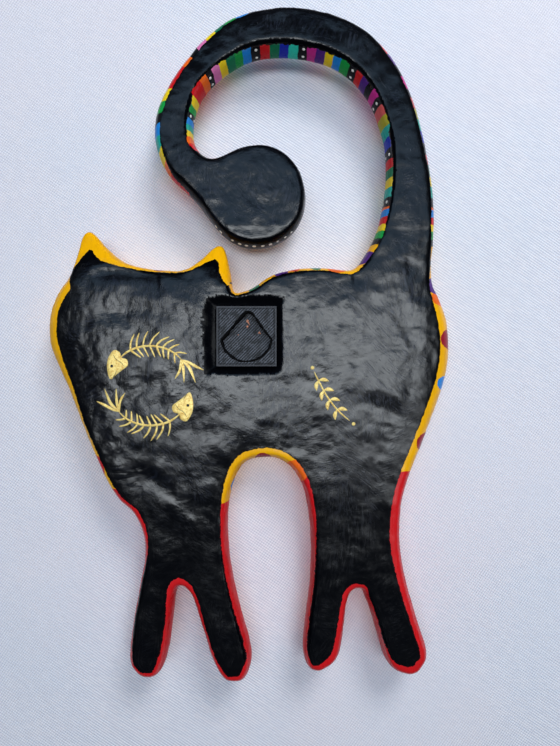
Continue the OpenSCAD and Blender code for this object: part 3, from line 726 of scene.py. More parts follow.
# colour blobs that reach the edge: (x, z, radius in x, radius in z)
blobs = {
    "p_maroon": [(-10, -94.5, 5.5, 4), (-138, -14, 9, 7), (-121, -84, 8, 7), (60, 36, 7, 4)],
    "p_orange": [(-32, -103, 8, 8), (-132, 14, 9, 6), (-60, 34, 7, 4)],
    "p_blue": [(9.0, -116, 3.2, 7), (-134, -44, 7, 5)],
    "p_purple": [(-128, 22, 9, 6), (-22, 31, 5, 4)],
    "p_green": [(97, -118, 7, 5), (-4, 20, 4, 4), (-46, 35, 4, 3)],
    "p_red": [(103, -101, 7, 9), (-30, 34, 5, 3), (88, -126, 7, 6)],
}
attrs = {
    "cover": cover,
    "tail_u": tail_u,
    "tail_f": tail_f,
    "knob_f": knob_f,
    "leg_f": leg_f,
    "inset": inset,
    "rim_place": place,
    "upper": Z,
    "moat": np.where(Y > -10, moat, -6),
    "back_f": np.where(knob_f > 2, 10, Y + 15.5),
}
for nm, spots in blobs.items():
    f = np.full(len(X), -20.0)
    for cx, cz, rx, rz in spots:
        q = np.sqrt(((X - cx) / rx) ** 2 + ((Z - cz) / rz) ** 2)
        f = np.maximum(f, (1 - q) * min(rx, rz))
    attrs[nm] = f


def add_mesh(name, v_mm, faces, mat, smooth=True):
    me = bpy.data.meshes.new(name)
    me.from_pydata((np.asarray(v_mm, float) / 1000).tolist(), [], [tuple(f) for f in np.asarray(faces).tolist()] if not isinstance(faces, list) else faces)
    me.materials.append(mat)
    if smooth:
        me.shade_smooth()
    ob = bpy.data.objects.new(name, me)
    coll.objects.link(ob)
    return ob


def part_of_skin(name, mask, mat):
    f = skin_f[mask]
    used = np.unique(f)
    new = np.full(len(skin_v), -1)
    new[used] = np.arange(len(used))
    ob = add_mesh(name, skin_v[used], new[f], mat)
    me = ob.data
    for k, v in attrs.items():
        a = me.attributes.new(k, "FLOAT", "POINT")
        a.data.foreach_set("value", v[used].astype(np.float32))
    me.normals_split_custom_set_from_vertices([tuple(n) for n in skin_n[used].tolist()])
    return ob


face_y = skin_v[skin_f][:, :, 1].mean(1)
skin_mat = skin_material("varnished_paint_on_paper")
# thinner varnish down the walls and in the gutter round the block
dull_mat = skin_material("thin_varnish_on_paper", 0.05, 0.0)
back_skin = part_of_skin("paper_back", face_y > -14, skin_mat)
front_skin = part_of_skin("paper_front", face_y <= -14, skin_mat)
face_n = skin_n[skin_f].mean(1)[:, 1]
face_c = skin_v[skin_f].mean(1)
rag = n3(np.stack([face_c[:, 0], face_c[:, 1], face_c[:, 2]], 1) / 1.7)
dull = (face_y < -4.0) & (face_n > -0.8)
dull |= (face_y > -6) & (face_n > 0) & (face_n < 0.93 + 0.05 * rag) & (cover[skin_f].mean(1) > 0.5)
dull |= (np.where(Y > -10, moat, -6)[skin_f].mean(1) > 0.3 + 2.0 * rag) & (face_y > -10)
dull &= ~((face_c[:, 0] < -112) & (face_c[:, 2] < 10) & (face_c[:, 2] > -100))
for ob, mask in ((back_skin, face_y > -14), (front_skin, face_y <= -14)):
    ob.data.materials.append(dull_mat)
    ob.data.polygons.foreach_set("material_index", dull[mask].astype(np.int32))
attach(back_skin, "root")
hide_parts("back_skin")
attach(front_skin, "root")
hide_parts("front_skin")

bvh = BVHTree.FromPolygons([Vector(p) for p in skin_v.tolist()], skin_f.tolist(), all_triangles=False)
# the front, with the raised pieces of the face
fv, ff = [Vector(p) for p in skin_v.tolist()], skin_f.tolist()
for nm in ("muzzle", "nose", "eye_left", "eye_right"):
    k = len(fv)
    me = nodes[nm].data
    fv += [v.co * 1000 for v in me.vertices]
    ff += [[k + i for i in q.vertices] for q in me.polygons]
front_bvh = BVHTree.FromPolygons(fv, ff, all_triangles=False)


def drop(x, z, back_side=True):
    """The skin's point under (x, z), looking along the wall's normal, and its own normal."""
    y, d = (60, -1) if back_side else (-90, 1)
    hit, nrm, _, _ = (bvh if back_side else front_bvh).ray_cast(Vector((x, y, z)), Vector((0, d, 0)))
    if hit is None:
        hit, nrm, _, _ = bvh.find_nearest(Vector((x, y * 0.1 - 8, z)))
    return np.array(hit), np.array(nrm)


def paint_material(name, colour, rough=0.34, metal=0.0, vary=0.25):
    t = Tree(name)
    P = t.pos()
    a = t.noise(P, 500, 3, 0.6)
    b = t.noise(P, 1500, 2, 0.6)
    dark = tuple(c * (1 - vary * 1.6) for c in colour[:3]) + (1,)
    col = t.mix(t.ramp(a, 0.4, 0.75), colour, dark)
    t.set(Base_Color=col, Roughness=t.ramp(b, 0.3, 0.7, rough - 0.08, rough + 0.12), Metallic=metal, Normal=t.bump(t.math("ADD", a, t.math("MULTIPLY", b, 0.6)), 0.5, 0.0003))
    return t.mat


class Paint:
    """Raised strokes and dots of one colour, gathered into one mesh."""

    def __init__(self, name, mat, slot):
        self.name, self.mat, self.slot = name, mat, slot
        self.v, self.f = [], []

    def stroke(self, pts, width, height=0.3, back_side=True, taper=(0.25, 0.25), step=0.8):
        """width is a number or a function of the share of the way along."""
        p, s, length = resample(dense(pts, False, 12) if len(pts) > 2 else np.array(pts, float), step, False)
        n = len(p)
        if n < 4:
            p, s, length = resample(np.asarray(p), length / 4, False)
            n = len(p)
        tg = np.gradient(p, axis=0)
        tg /= np.maximum(np.linalg.norm(tg, axis=1), 1e-9)[:, None]
        nr = np.stack([-tg[:, 1], tg[:, 0]], 1)
        base = len(self.v)
        prof = [(-1, -0.25), (-0.8, 0.55), (-0.35, 0.95), (0.35, 1.0), (0.8, 0.55), (1, -0.25)]
        for i in range(n):
            f = s[i] / length
            w = width(f) if callable(width) else width
            e = 1.0
            if taper[0] and f < taper[0]:
                e = min(e, math.sqrt(max(0.0, 1 - (1 - f / taper[0]) ** 2)))
            if taper[1] and f > 1 - taper[1]:
                e = min(e, math.sqrt(max(0.0, 1 - (1 - (1 - f) / taper[1]) ** 2)))
            e = max(e, 0.12)
            for a, h in prof:
                q = p[i] + nr[i] * a * w * e / 2
                hit, nm = drop(q[0], q[1], back_side)
                self.v.append(hit + nm * (h * height * (0.4 + 0.6 * e)))
        m = len(prof)
        for i in range(n - 1):
            for k in range(m - 1):
                a = base + i * m + k
                quad = (a, a + 1, a + m + 1, a + m)
                self.f.append(quad if not back_side else quad[::-1])

    def dab(self, x, z, r, height=0.35, back_side=True, rz=None, turn=0.0, seg=14):
        rz = rz or r
        c, s = math.cos(turn), math.sin(turn)
        base = len(self.v)
        hit, nm = drop(x, z, back_side)
        self.v.append(hit + nm * height)
        rings = [(0.45, 0.93), (0.8, 0.62), (1.0, -0.25)]
        for q, h in rings:
            for k in range(seg):
                t = 2 * math.pi * k / seg
                u, w = r * q * math.cos(t), rz * q * math.sin(t)
                hit, nm = drop(x + u * c - w * s, z + u * s + w * c, back_side)
                self.v.append(hit + nm * h * height)
        for k in range(seg):
            j = (k + 1) % seg
            tri = (base, base + 1 + k, base + 1 + j)
            self.f.append(tri if not back_side else tri[::-1])
            for q in range(2):
                a = base + 1 + q * seg
                quad = (a + k, a + seg + k, a + seg + j, a + j)
                self.f.append(quad if not back_side else quad[::-1])

    def bead(self, point, r, height=0.4, seg=12):
        """A dot on any part of the skin, nearest to a point in space."""
        hit, nm, _, _ = bvh.find_nearest(Vector(point))
        nm = nm.normalized()
        ax = nm.orthogonal().normalized()
        ay = nm.cross(ax)
        base = len(self.v)
        self.v.append(np.array(hit + nm * height))
        for q, h in [(0.45, 0.93), (0.8, 0.62), (1.0, -0.25)]:
            for k in range(seg):
                t = 2 * math.pi * k / seg
                w = hit + (ax * math.cos(t) + ay * math.sin(t)) * r * q
                hh, nn, _, _ = bvh.find_nearest(w)
                self.v.append(np.array(hh + nn * h * height))
        for k in range(seg):
            j = (k + 1) % seg
            self.f.append((base, base + 1 + k, base + 1 + j))
            for q in range(2):
                a = base + 1 + q * seg
                self.f.append((a + k, a + seg + k, a + seg + j, a + j))

    def fill(self, poly, height=0.3, back_side=True, grow=1.0):
        """A flat patch of paint inside a closed line, with rounded edges."""
        p = dense(poly, True, 6)
        c = p.mean(0)
        base = len(self.v)
        n = len(p)
        hit, nm = drop(c[0], c[1], back_side)
        self.v.append(hit + nm * height)
        rings = [(0.25, 1.0), (0.5, 1.0), (0.75, 0.95), (0.92, 0.7), (1.0, -0.25)]
        for q, h in rings:
            for k in range(n):
                w = c + (p[k] - c) * q * grow
                hit, nm = drop(w[0], w[1], back_side)
                self.v.append(hit + nm * h * height)
        area = 0.5 * sum(p[i][0] * p[(i + 1) % n][1] - p[(i + 1) % n][0] * p[i][1] for i in range(n))
        flip = (area < 0) != back_side
        for k in range(n):
            j = (k + 1) % n
            tri = (base, base + 1 + k, base + 1 + j)
            self.f.append(tri[::-1] if flip else tri)
            for q in range(len(rings) - 1):
                a = base + 1 + q * n
                quad = (a + k, a + n + k, a + n + j, a + j)
                self.f.append(quad[::-1] if flip else quad)

    def done(self):
        if not self.v:
            return None
        ob = add_mesh(self.name, np.array(self.v), self.f, self.mat)
        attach(ob, "root")
        return ob


# ---------------------------------------------------------------- gold strokes on the back: two plain fishbones nose to tail, and a sprig
gold_t = Tree("gold_paint")
gp = gold_t.pos()
g1 = gold_t.noise(gp, 900, 3, 0.6)
g2 = gold_t.noise(gp, 260, 2)
gold_t.set(
    Base_Color=gold_t.mix(gold_t.ramp(g1, 0.42, 0.75), srgb(254, 228, 140), srgb(214, 162, 60)),
    Metallic=gold_t.ramp(g2, 0.3, 0.7, 0.1, 0.35),
    Roughness=gold_t.ramp(g1, 0.3, 0.7, 0.36, 0.56),
    Normal=gold_t.bump(gold_t.math("ADD", g1, g2), 0.6, 0.0003),
)
gold = Paint("gold_strokes", gold_t.mat, "paper_black")
ink_dots = Paint("ink_dots", paint_material("ink", srgb(16, 16, 20), 0.3), "paper_black")


def fishbone(cx, cz, r, a0, a1, seed):
    """A plain fish skeleton bent round a circle, from its nose at a0 to its tail at a1, in degrees."""
    def at(f, off=0.0):
        a = math.radians(a0 + (a1 - a0) * f)
        return np.array([cx + (r + off) * math.cos(a), cz + (r + off) * math.sin(a)])

    rng = np.random.default_rng(seed)
    gold.stroke([at(f, 0.4 * math.sin(f * 9)) for f in np.linspace(0.2, 0.84, 9)], lambda q: 1.8 - 0.5 * q, 0.45)
    head = [at(-0.02), at(0.05, 3.6), at(0.13, 6.4), at(0.21, 7.2), at(0.235, 3.4), at(0.215, 0), at(0.24, -3.6), at(0.2, -7.0), at(0.12, -6.0), at(0.04, -3.4)]
    gold.fill(head, 0.4)
    e = at(0.1, 1.6)
    ink_dots.dab(e[0], e[1], 1.25, 0.6)
    ink_dots.stroke([at(0.155, -6.2), at(0.175, -2.5), at(0.17, 2.0), at(0.19, 6.0)], 0.55, 0.5, step=0.5)
    ink_dots.stroke([at(0.0, -1.6), at(0.05, -2.6), at(0.085, -2.2)], 0.5, 0.5, step=0.4)
    for f in np.linspace(0.32, 0.75, 8):
        reach = 10.0 * (1 - 0.5 * abs(f - 0.42) / 0.42) + rng.uniform(-0.7, 0.7)
        lean = 0.04 + rng.uniform(-0.01, 0.01)
        wide = 1.55 + rng.uniform(-0.15, 0.25)
        gold.stroke([at(f), at(f + lean * 0.7, reach * 0.5), at(f + lean * 1.7, reach)], lambda q: wide * (1.0 - 0.4 * q), 0.36, step=0.55)
        gold.stroke([at(f), at(f + lean * 0.7, -reach * 0.42), at(f + lean * 1.6, -reach * 0.8)], lambda q: wide * (1.0 - 0.4 * q), 0.36, step=0.55)
    for off in (10.5, 3.6, -4.2, -10.0):
        gold.fill([at(0.83), at(0.88, off * 0.24 + 0.9), at(0.95, off * 0.62 + 0.9), at(1.0 + 0.012 * (10 - abs(off)), off), at(0.955, off * 0.62 - 1.1), at(0.88, off * 0.24 - 0.8)], 0.34)


fishbone(65.5, -45.5, 27, 12, 165, 5)
fishbone(65.5, -45.5, 27, -168, -15, 6)

# the sprig: a bent stem with paired leaves
stem = [(-44, -36), (-48, -44), (-53, -53), (-60, -62), (-68, -69)]
gold.stroke(stem, 1.2, 0.35)
for k, (x, z) in enumerate([(-47, -42), (-50.5, -48.5), (-54.5, -55), (-59.5, -61.5)]):
    for sgn in (1, -1):
        a = math.radians(-128 + sgn * 48)
        tip = (x + 7 * math.cos(a), z + 7 * math.sin(a))
        midp = (x + 3.5 * math.cos(a + 0.25 * sgn), z + 3.5 * math.sin(a + 0.25 * sgn))
        gold.stroke([(x, z), midp, tip], lambda q: 0.9 + 1.9 * math.sin(math.pi * q) ** 1.4, 0.35, step=0.5)
for x, z in [(-43, -33.5), (-70.5, -71)]:
    gold.dab(x, z, 1.3)

# ---------------------------------------------------------------- white dots: the tail's dotted bands and the knob's rim
white_dots = Paint("white_dots", paint_material("white_paint", white, 0.35, vary=0.08), "paper_painted")


def on_inner(s_mm):
    i = min(len(inner) - 1, max(0, int(round(s_mm / inner_len * (len(inner) - 1)))))
    return inner[i]


for a in dot_bands:
    p = on_inner(a)
    ds, pl, _ = near_curve(np.array([p]), rim, rim_tree, rim_s)
    k = int(np.searchsorted(rim_s, pl[0])) % len(rim)
    nrm = rim_in[k]
    for depth, inn in ((-6.0, 0.9), (-13.0, 0.0), (-20.0, 0.8)):
        white_dots.bead((p[0] + nrm[0] * inn, depth, p[1] + nrm[1] * inn), 1.1)
for k in range(12):
    a = math.radians(222 + k * 8.6)
    p = np.array([-1.0 + 37 * math.cos(a), 85 + 37 * math.sin(a)])
    ds, pl, _ = near_curve(p[None], rim, rim_tree, rim_s)
    i = int(np.searchsorted(rim_s, pl[0])) % len(rim)
    q = rim[i][:2] + rim_in[i] * 0.3
    if math.hypot(q[0] + 1, q[1] - 85) < 41 and not (q[0] > 12 and q[1] < 50.8):
        white_dots.bead((q[0], -8.5, q[1]), 1.0 if k < 3 else 1.4)

gold.done()
ink_dots.done()
white_dots.done()

# ---------------------------------------------------------------- the painted front
fp = {}
for nm, c in (("red", red), ("blue", blue), ("green", green), ("orange", orange), ("magenta", magenta), ("teal", teal), ("purple", purple),
              ("white", white), ("black", srgb(13, 13, 17)), ("yellow", srgb(250, 204, 40)), ("navy", navy), ("pink", srgb(236, 128, 176)), ("lime", srgb(150, 200, 40))):
    fp[nm] = Paint("front_" + nm, paint_material("front_paint_" + nm, c, 0.3, vary=0.12), "face_paint")
F = False


def circle(cx, cz, rx, rz=None, a0=0, a1=360, n=36):
    rz = rz or rx
    return [(cx + rx * math.cos(t), cz + rz * math.sin(t)) for t in np.radians(np.linspace(a0, a1, n))]


def petal(c, x, z, ang, length, width, height=0.4):
    """A drop-shaped stroke with its point at (x, z)."""
    u = np.array([math.cos(math.radians(ang)), math.sin(math.radians(ang))])
    v = np.array([-u[1], u[0]])
    o = np.array([x, z])
    side_a = [o + u * length * f + v * width * g for f, g in ((0.0, 0.06), (0.25, 0.26), (0.55, 0.47), (0.8, 0.46), (0.95, 0.25))]
    side_b = [o + u * length * f - v * width * g for f, g in ((0.95, 0.25), (0.8, 0.46), (0.55, 0.47), (0.25, 0.26), (0.0, 0.06))]
    fp[c].fill(side_a + side_b, height, F)


def leaf(c, x0, z0, x1, z1, width, vein=None, height=0.4):
    a, b = np.array([x0, z0], float), np.array([x1, z1], float)
    u = b - a
    v = np.array([-u[1], u[0]]) / np.linalg.norm(u)
    fp[c].fill([a + u * f + v * width * g for f, g in ((0, 0.03), (0.2, 0.36), (0.5, 0.5), (0.8, 0.3), (1, 0.03), (0.97, -0.05), (0.78, -0.33), (0.5, -0.5), (0.2, -0.34))], height, F)
    if vein:
        fp[vein].stroke([a + u * 0.1, a + u * 0.5 + v * 0.3, a + u * 0.9], 0.7, height + 0.25, F, step=0.7)


def dots(c, pts, r, height=0.5):
    for q in pts:
        fp[c].dab(q[0], q[1], r, height, F, seg=12)


def line(c, pts, width, height=0.4, taper=(0.2, 0.2)):
    fp[c].stroke(pts, width, height, F, taper, step=0.9)


def roundel(cx, cz, r, n, outer, inner, mid, core, turn=0.0, squash=1.0):
    """A flower in rings: a black ring, two rows of petals, dots and a domed middle."""
    line("black", circle(cx, cz, r * 1.04, r * 1.04 * squash, n=60), 0.9, 0.35, (0, 0))
    for k in range(n):
        a = turn + 360 * k / n
        ca, sa = math.cos(math.radians(a)), math.sin(math.radians(a))
        petal(outer[k % len(outer)], cx + 0.42 * r * ca, cz + 0.42 * r * sa * squash, a, r * 0.54, r * 0.92 * math.sin(math.pi / n) * 1.8, 0.4)
        b = a + 180 / n
        cb, sb = math.cos(math.radians(b)), math.sin(math.radians(b))
        dots("white", [(cx + 0.9 * r * cb, cz + 0.9 * r * sb * squash)], max(0.7, r * 0.036))
        dots("white", [(cx + 0.74 * r * ca, cz + 0.74 * r * sa * squash)], max(0.7, r * 0.045), 0.75)
        petal(inner[k % len(inner)], cx + 0.16 * r * cb, cz + 0.16 * r * sb * squash, b, r * 0.34, r * 0.5 * math.sin(math.pi / n) * 1.9, 0.6)
        dots("black", [(cx + 1.16 * r * cb, cz + 1.16 * r * sb * squash)], max(0.75, r * 0.04))
    fp[mid].dab(cx, cz, r * 0.2, 1.1, F, r * 0.2 * squash, seg=22)
    dots(core, [(cx, cz)], r * 0.085, 1.6)
    dots("white", [(cx + r * 0.145 * math.cos(t), cz + r * 0.145 * math.sin(t) * squash) for t in np.linspace(0, 2 * math.pi, 8, endpoint=False)], max(0.45, r * 0.022), 1.35)


roundel(-98, -44, 25, 12, ["blue", "magenta"], ["yellow", "red"], "purple", "yellow", 0, 1.12)
roundel(60, -97, 17, 10, ["teal", "orange"], ["white", "magenta"], "navy", "orange", 9)
roundel(-9, 85, 21, 11, ["red", "teal", "yellow"][:2], ["orange", "white"], "magenta", "white", 5)
roundel(-30, -48, 19, 9, ["red", "green"], ["yellow", "blue"], "black", "red", 10)
keep_out = [(-98, -44, 31, 34), (60, -97, 22, 22), (-30, -48, 24, 24)]

# two vines along the back, with leaves and berries
vines = [
    [(-112, 8), (-92, 19), (-68, 14), (-50, 1), (-28, -10), (-4, -4), (8, -18), (10, -40), (16, -62)],
    [(-62, -14), (-60, -42), (-64, -70), (-72, -94)],
    [(12, -62), (26, -78), (34, -98), (30, -116)],
]
for k, v in enumerate(vines):
    line("black", v, 1.5, 0.35, (0.05, 0.15))
    p, at, length = resample(dense(v, False, 12), 9.5, False)
    t = np.gradient(p, axis=0)
    t /= np.linalg.norm(t, axis=1)[:, None]
    for i in range(1, len(p) - 1):
        sg = 1 if i % 2 else -1
        d = t[i] * 0.62 + np.array([-t[i][1], t[i][0]]) * 0.8 * sg
        tip = p[i] + d * 10.5
        leaf(("green", "teal", "lime")[i % 3], p[i][0], p[i][1], tip[0], tip[1], 5.6, "yellow")
        b = p[i] - d * 4.2
        dots(("red", "purple", "blue")[i % 3], [b], 1.7, 0.7)
        dots("white", [b + np.array([0.3, 0.5])], 0.45, 1.05)
vine_pts = np.concatenate([resample(dense(v, False, 12), 2, False)[0] for v in vines])

# patches that run to the edge
for x, z, a, l, w, c in ((-134, -14, 0, 14, 13, "purple"), (-118, -86, 25, 13, 12, "navy"), (-130, 8, -20, 13, 10, "orange"), (-40, 32, -90, 13, 12, "magenta"), (-14, 27, -80, 12, 9, "teal"),
                         (-62, 32, -90, 12, 10, "red"), (-10, -92, 90, 13, 12, "purple"), (6, -103, 70, 11, 9, "blue"), (-28, -99, 110, 12, 10, "orange"), (103, -94, 160, 13, 10, "green"),
                         (122, -49, 170, 12, 10, "blue"), (92, -118, 140, 12, 9, "magenta")):
    u = np.array([math.cos(math.radians(a)), math.sin(math.radians(a))])
    petal(c, x + u[0] * (l + 2), z + u[1] * (l + 2), a + 180, l, w, 0.35)
    dots("white", [(x + u[0] * l * 0.45, z + u[1] * l * 0.45)], 1.5, 0.8)
    dots("white", [(x + u[0] * l * 0.85, z + u[1] * l * 0.85)], 0.9, 0.7)
    keep_out.append((x + u[0] * l * 0.5, z + u[1] * l * 0.5, l * 0.7 + 2, l * 0.7 + 2))

# small dots between everything on the body, and rows of dots along its edge
grid_rng = np.random.default_rng(21)
names = ["red", "blue", "white", "green", "magenta", "black", "orange"]
cand = np.array([(x + (j % 2) * 3.4, -112 + j * 5.9) for j in range(26) for x in np.arange(-134, 136, 6.8)])
cd, _, cs = near_curve(cand, rim, rim_tree, rim_s)
head_c = np.hypot((cand[:, 0] - 72) / 63, (cand[:, 1] + 14) / 51)
leg_top = np.where(cand[:, 0] < -4, -98, np.interp(cand[:, 0], [0, 16, 60, 97], [-118, -117, -113, -105]))
for i, (x, z) in enumerate(cand):
    if cd[i] * cs[i] < 8.5 or head_c[i] < 1.04 or z < leg_top[i] or z > 34:
        continue
    if any(((x - a) / c) ** 2 + ((z - b) / d) ** 2 < 1 for a, b, c, d in keep_out) or np.hypot(vine_pts[:, 0] - x, vine_pts[:, 1] - z).min() < 12:
        continue
    c = names[int(grid_rng.integers(len(names)))]
    r = 1.0 + 0.55 * grid_rng.random()
    dots(c, [(x + grid_rng.uniform(-0.5, 0.5), z + grid_rng.uniform(-0.5, 0.5))], r)
    if r > 1.35:
        dots("white" if c != "white" else "red", [(x, z)], 0.5, 0.85)
edge_p, _, _ = resample(np.concatenate([rim[:, :2] + rim_in * 4.6]), 4.6)
for i, (x, z) in enumerate(edge_p):
    on_tail = (x < -60 and z > 34) or z > 121 or (x > 30 and z > 75)
    on_knob = 40 < z < 121 and -50 < x < 45 and not (x > 11 and z < 46 + 0.45 * (x - 4.5))
    if on_tail:
        continue
    low = z < -110
    if on_knob:
        dots("white", [(x, z)], 1.15)
    elif low:
        dots("yellow" if i % 2 else "white", [(x, z)], 1.0)
    else:
        dots("black" if i % 2 else "red", [(x, z)], 1.05)

# the tail's black bands have a row of white dots across the front too
inner_to_outer = lambda u: float(np.interp(u, pair_in, pair_out))
for a in dot_bands:
    p0 = on_inner(a)
    so = inner_to_outer(a)
    p1 = outer[min(len(outer) - 1, int(round(so / outer_len * (len(outer) - 1))))]
    for f in (0.14, 0.32, 0.5, 0.68, 0.86):
        q = p0 * (1 - f) + p1 * f
        dots("white", [(q[0], q[1])], 1.35 if f in (0.32, 0.68) else 1.1)
        if f in (0.32, 0.68):
            dots("red", [(q[0], q[1])], 0.55, 0.9)

# legs: coloured bands with dots and zigzags, and toes
legs = [((-88, -128), (-113, -232), 30, 1), ((-56, -128), (-48, -232), 27, 1), ((30, -138), (9, -238), 29, 0), ((58, -140), (70, -238), 26, 0)]


def across(a, b, f, half):
    """Two points across a leg at the share f of its length, just inside its edges."""
    c = a * (1 - f) + b * f
    u = (b - a) / np.linalg.norm(b - a)
    v = np.array([-u[1], u[0]])
    out = []
    for sgn in (1, -1):
        w = 0.0
        while w < 30:
            q = c + v * sgn * (w + 0.5)
            d, _, sd = near_curve(np.array([q]), rim, rim_tree, rim_s)
            if d[0] * sd[0] < 2.6:
                break
            w += 0.5
        out.append(c + v * sgn * min(w, 24))
    return out[0], out[1], u


for a, b, wide, hind in legs:
    a, b = np.array(a, float), np.array(b, float)
    for f, c, w in ((0.56, "green", 3.2), (0.62, "orange", 2.6), (0.665, "white", 1.4), (0.84, "yellow", 2.6)):
        p0, p1, u = across(a, b, f, wide / 2)
        if np.linalg.norm(p0 - p1) > 40:
            continue
        mid_p = (p0 + p1) / 2 + u * 1.2
        line(c, [p0, mid_p, p1], w, 0.4, (0.06, 0.06))
        if w > 3:
            n = 6
            dots("black" if c == "yellow" else "white", [p0 * (1 - g) + p1 * g + u * 1.2 * 4 * g * (1 - g) for g in np.linspace(0.12, 0.88, n)], 0.8, 0.75)
    for f0, f1, c in ((0.70, 0.79, "yellow"),):
        q0, q1, u = across(a, b, f0, wide / 2)
        r0, r1, _ = across(a, b, f1, wide / 2)
        if np.linalg.norm(q0 - q1) > 40:
            continue
        zig = []
        for i, g in enumerate(np.linspace(0.03, 0.97, 9)):
            zig.append((q0 * (1 - g) + q1 * g) if i % 2 else (r0 * (1 - g) + r1 * g))
        for i in range(8):
            fp[c].stroke([zig[i], zig[i + 1]], 1.4, 0.45, F, (0.1, 0.1), step=0.9)
        dots("white", [(zig[i] * 0.55 + (zig[i - 1] + zig[i + 1]) * 0.225) for i in range(1, 8)], 0.75, 0.6)
    u = (b - a) / np.linalg.norm(b - a)
    v = np.array([-u[1], u[0]])
    for g in (-5.2, 0, 5.2):
        e0 = b + v * g + u * (4.5 - abs(g) * 0.15)
        line("black", [e0 - u * 9, e0 - u * 4, e0 + u * 0.5], 1.7, 0.6, (0.5, 0.1))
        dots("white", [e0 - u * 11.5], 0.9)

# above the fork of each pair of legs: bands right across, a zigzag and a flower
def row(z, x, sag=0.0):
    """Points across the leg at height z, from edge to edge."""
    ends = []
    for sgn in (-1, 1):
        w = 0.0
        while w < 60:
            d, _, sd = near_curve(np.array([[x + sgn * (w + 0.5), z]]), rim, rim_tree, rim_s)
            if d[0] * sd[0] < 2.8:
                break
            w += 0.5
        ends.append(x + sgn * w)
    return [(ends[0] * (1 - g) + ends[1] * g, z - sag * 4 * g * (1 - g)) for g in np.linspace(0, 1, 9)]


for x, top in ((-74, -146), (42, -158)):
    for dz, c, w in ((0, "yellow", 3.8), (-6.5, "blue", 3.2), (-11, "white", 1.4), (6.5, "white", 1.4)):
        pts = row(top + dz, x, 1.5)
        line(c, pts, w, 0.4, (0.03, 0.03))
        if w > 3:
            dots("black" if c == "yellow" else "white", [pts[i] for i in range(1, 8)], 0.85, 0.75)
            dots("black" if c == "yellow" else "white", [((pts[i][0] + pts[i + 1][0]) / 2, (pts[i][1] + pts[i + 1][1]) / 2) for i in range(8)], 0.6, 0.75)
    hi, lo = row(top - 14.5, x, 1.5), row(top - 20.5, x, 1.5)
    n = 15
    hi = resample(np.array(hi), 3.6, False)[0]
    lo = resample(np.array(lo), 3.6, False)[0]
    n = min(len(hi), len(lo))
    for i in range(n - 1):
        a, b = (hi[i], lo[i + 1]) if i % 2 == 0 else (lo[i], hi[i + 1])
        fp["black"].stroke([a, b], 1.4, 0.45, F, (0.1, 0.1), step=0.9)
roundel(-72, -126, 11.5, 8, ["yellow", "blue"], ["white", "green"], "navy", "yellow", 0)
roundel(39, -140.5, 9.5, 8, ["yellow", "teal"], ["white", "magenta"], "purple", "yellow", 0)
for x, z, r in ((-94, -116, 3.0), (-94, -134, 2.6), (-52, -118, 2.6), (-52, -136, 2.8), (20, -132, 2.4), (62, -130, 2.8), (66, -148, 2.0), (80, -122, 2.2), (-86, -106.5, 0), (21, -150, 2.0)):
    if not r:
        continue
    dots("yellow", [(x, z)], r * 0.55, 0.6)
    dots("white", [(x + r * 1.35 * math.cos(t), z + r * 1.35 * math.sin(t)) for t in np.linspace(0, 2 * math.pi, 7, endpoint=False)], 0.62)
for x, z in ((-84, -111), (-62, -110), (-104 + 6, -125), (-47, -127), (-62, -141), (-84, -141), (28, -128), (52, -126), (55, -152), (26, -156 + 4), (72, -136)):
    dots("lime", [(x, z)], 1.0)

# ---------------------------------------------------------------- the face: a plain painted cat
for sx in (1, -1):
    ex = 72 + 22 * sx
    # lids and lashes
    line("black", circle(ex, -6, 11.2, 8.3, n=48), 1.7, 0.8, (0, 0))
    line("black", [(ex - sx * 11.5, -7.5), (ex - sx * 14.5, -11), (ex - sx * 16.5, -15.5)], 1.7, 0.6, (0, 0.6))
    line("black", [(ex + sx * 11, -3), (ex + sx * 15.5, 0.5), (ex + sx * 19.5, 5)], 2.0, 0.6, (0, 0.6))
    # a large and a small white dot on each eye: painted highlights
    dots("white", [(ex - 2.4, -2.6)], 1.5, 0.5)
    dots("white", [(ex + 2.2, -9.4)], 0.7, 0.45)
    line("teal", circle(ex, -6, 14.6, 11.6, 20 if sx > 0 else 25, 155 if sx > 0 else 160, n=20), 1.7, 0.5)
    for t in np.radians(np.linspace(28, 152, 9)):
        dots("white", [(ex + 17.6 * math.cos(t), -6 + 14.8 * math.sin(t))], 0.95)
    for k, c in enumerate(("red", "orange", "red")):
        x0 = 72 + sx * (33 + 6 * k)
        line(c, [(x0 - sx * 2, 16 + (2 - k) * 1.5), (x0, 21), (x0 + sx * 3.5, 26 - k * 2.0)], 2.4, 0.45, (0.4, 0.4))
    # cheek: a small flower and dots
    cx, cz = 72 + sx * 38, -33
    for k in range(6):
        a = 60 * k + 15
        petal(("magenta", "purple")[k % 2], cx + 1.6 * math.cos(math.radians(a)), cz + 1.6 * math.sin(math.radians(a)), a, 5.2, 4.0, 0.45)
    fp["yellow"].dab(cx, cz, 1.9, 0.9, F, seg=14)
    dots("white", [(cx + 8.6 * math.cos(t), cz + 8.6 * math.sin(t)) for t in np.linspace(0, 2 * math.pi, 12, endpoint=False)], 0.7)
    # whiskers and their roots
    for k, (z0, z1) in enumerate(((-29.5, -22.5), (-33.5, -31.5), (-37.5, -41))):
        line("black", [(72 + sx * 17, z0), (72 + sx * 27, (z0 + z1) / 2 + 0.8), (72 + sx * (40 + (1 if k == 1 else 0)), z1)], 0.95, 0.7, (0.05, 0.7))
        dots("black", [(72 + sx * (8.5 + 1.2 * k), z0 + 0.4), (72 + sx * (12.8 - 0.6 * k), z0 + 0.2)], 0.62, 0.45)
    line("black", [(72, -35.5), (72 + sx * 3.0, -40.2), (72 + sx * 8.5, -42.4), (72 + sx * 13.5, -40.2)], 1.25, 0.6, (0.05, 0.5))
    dots("black", [(72 + sx * 2.6, -25.2)], 0.95, 0.35)
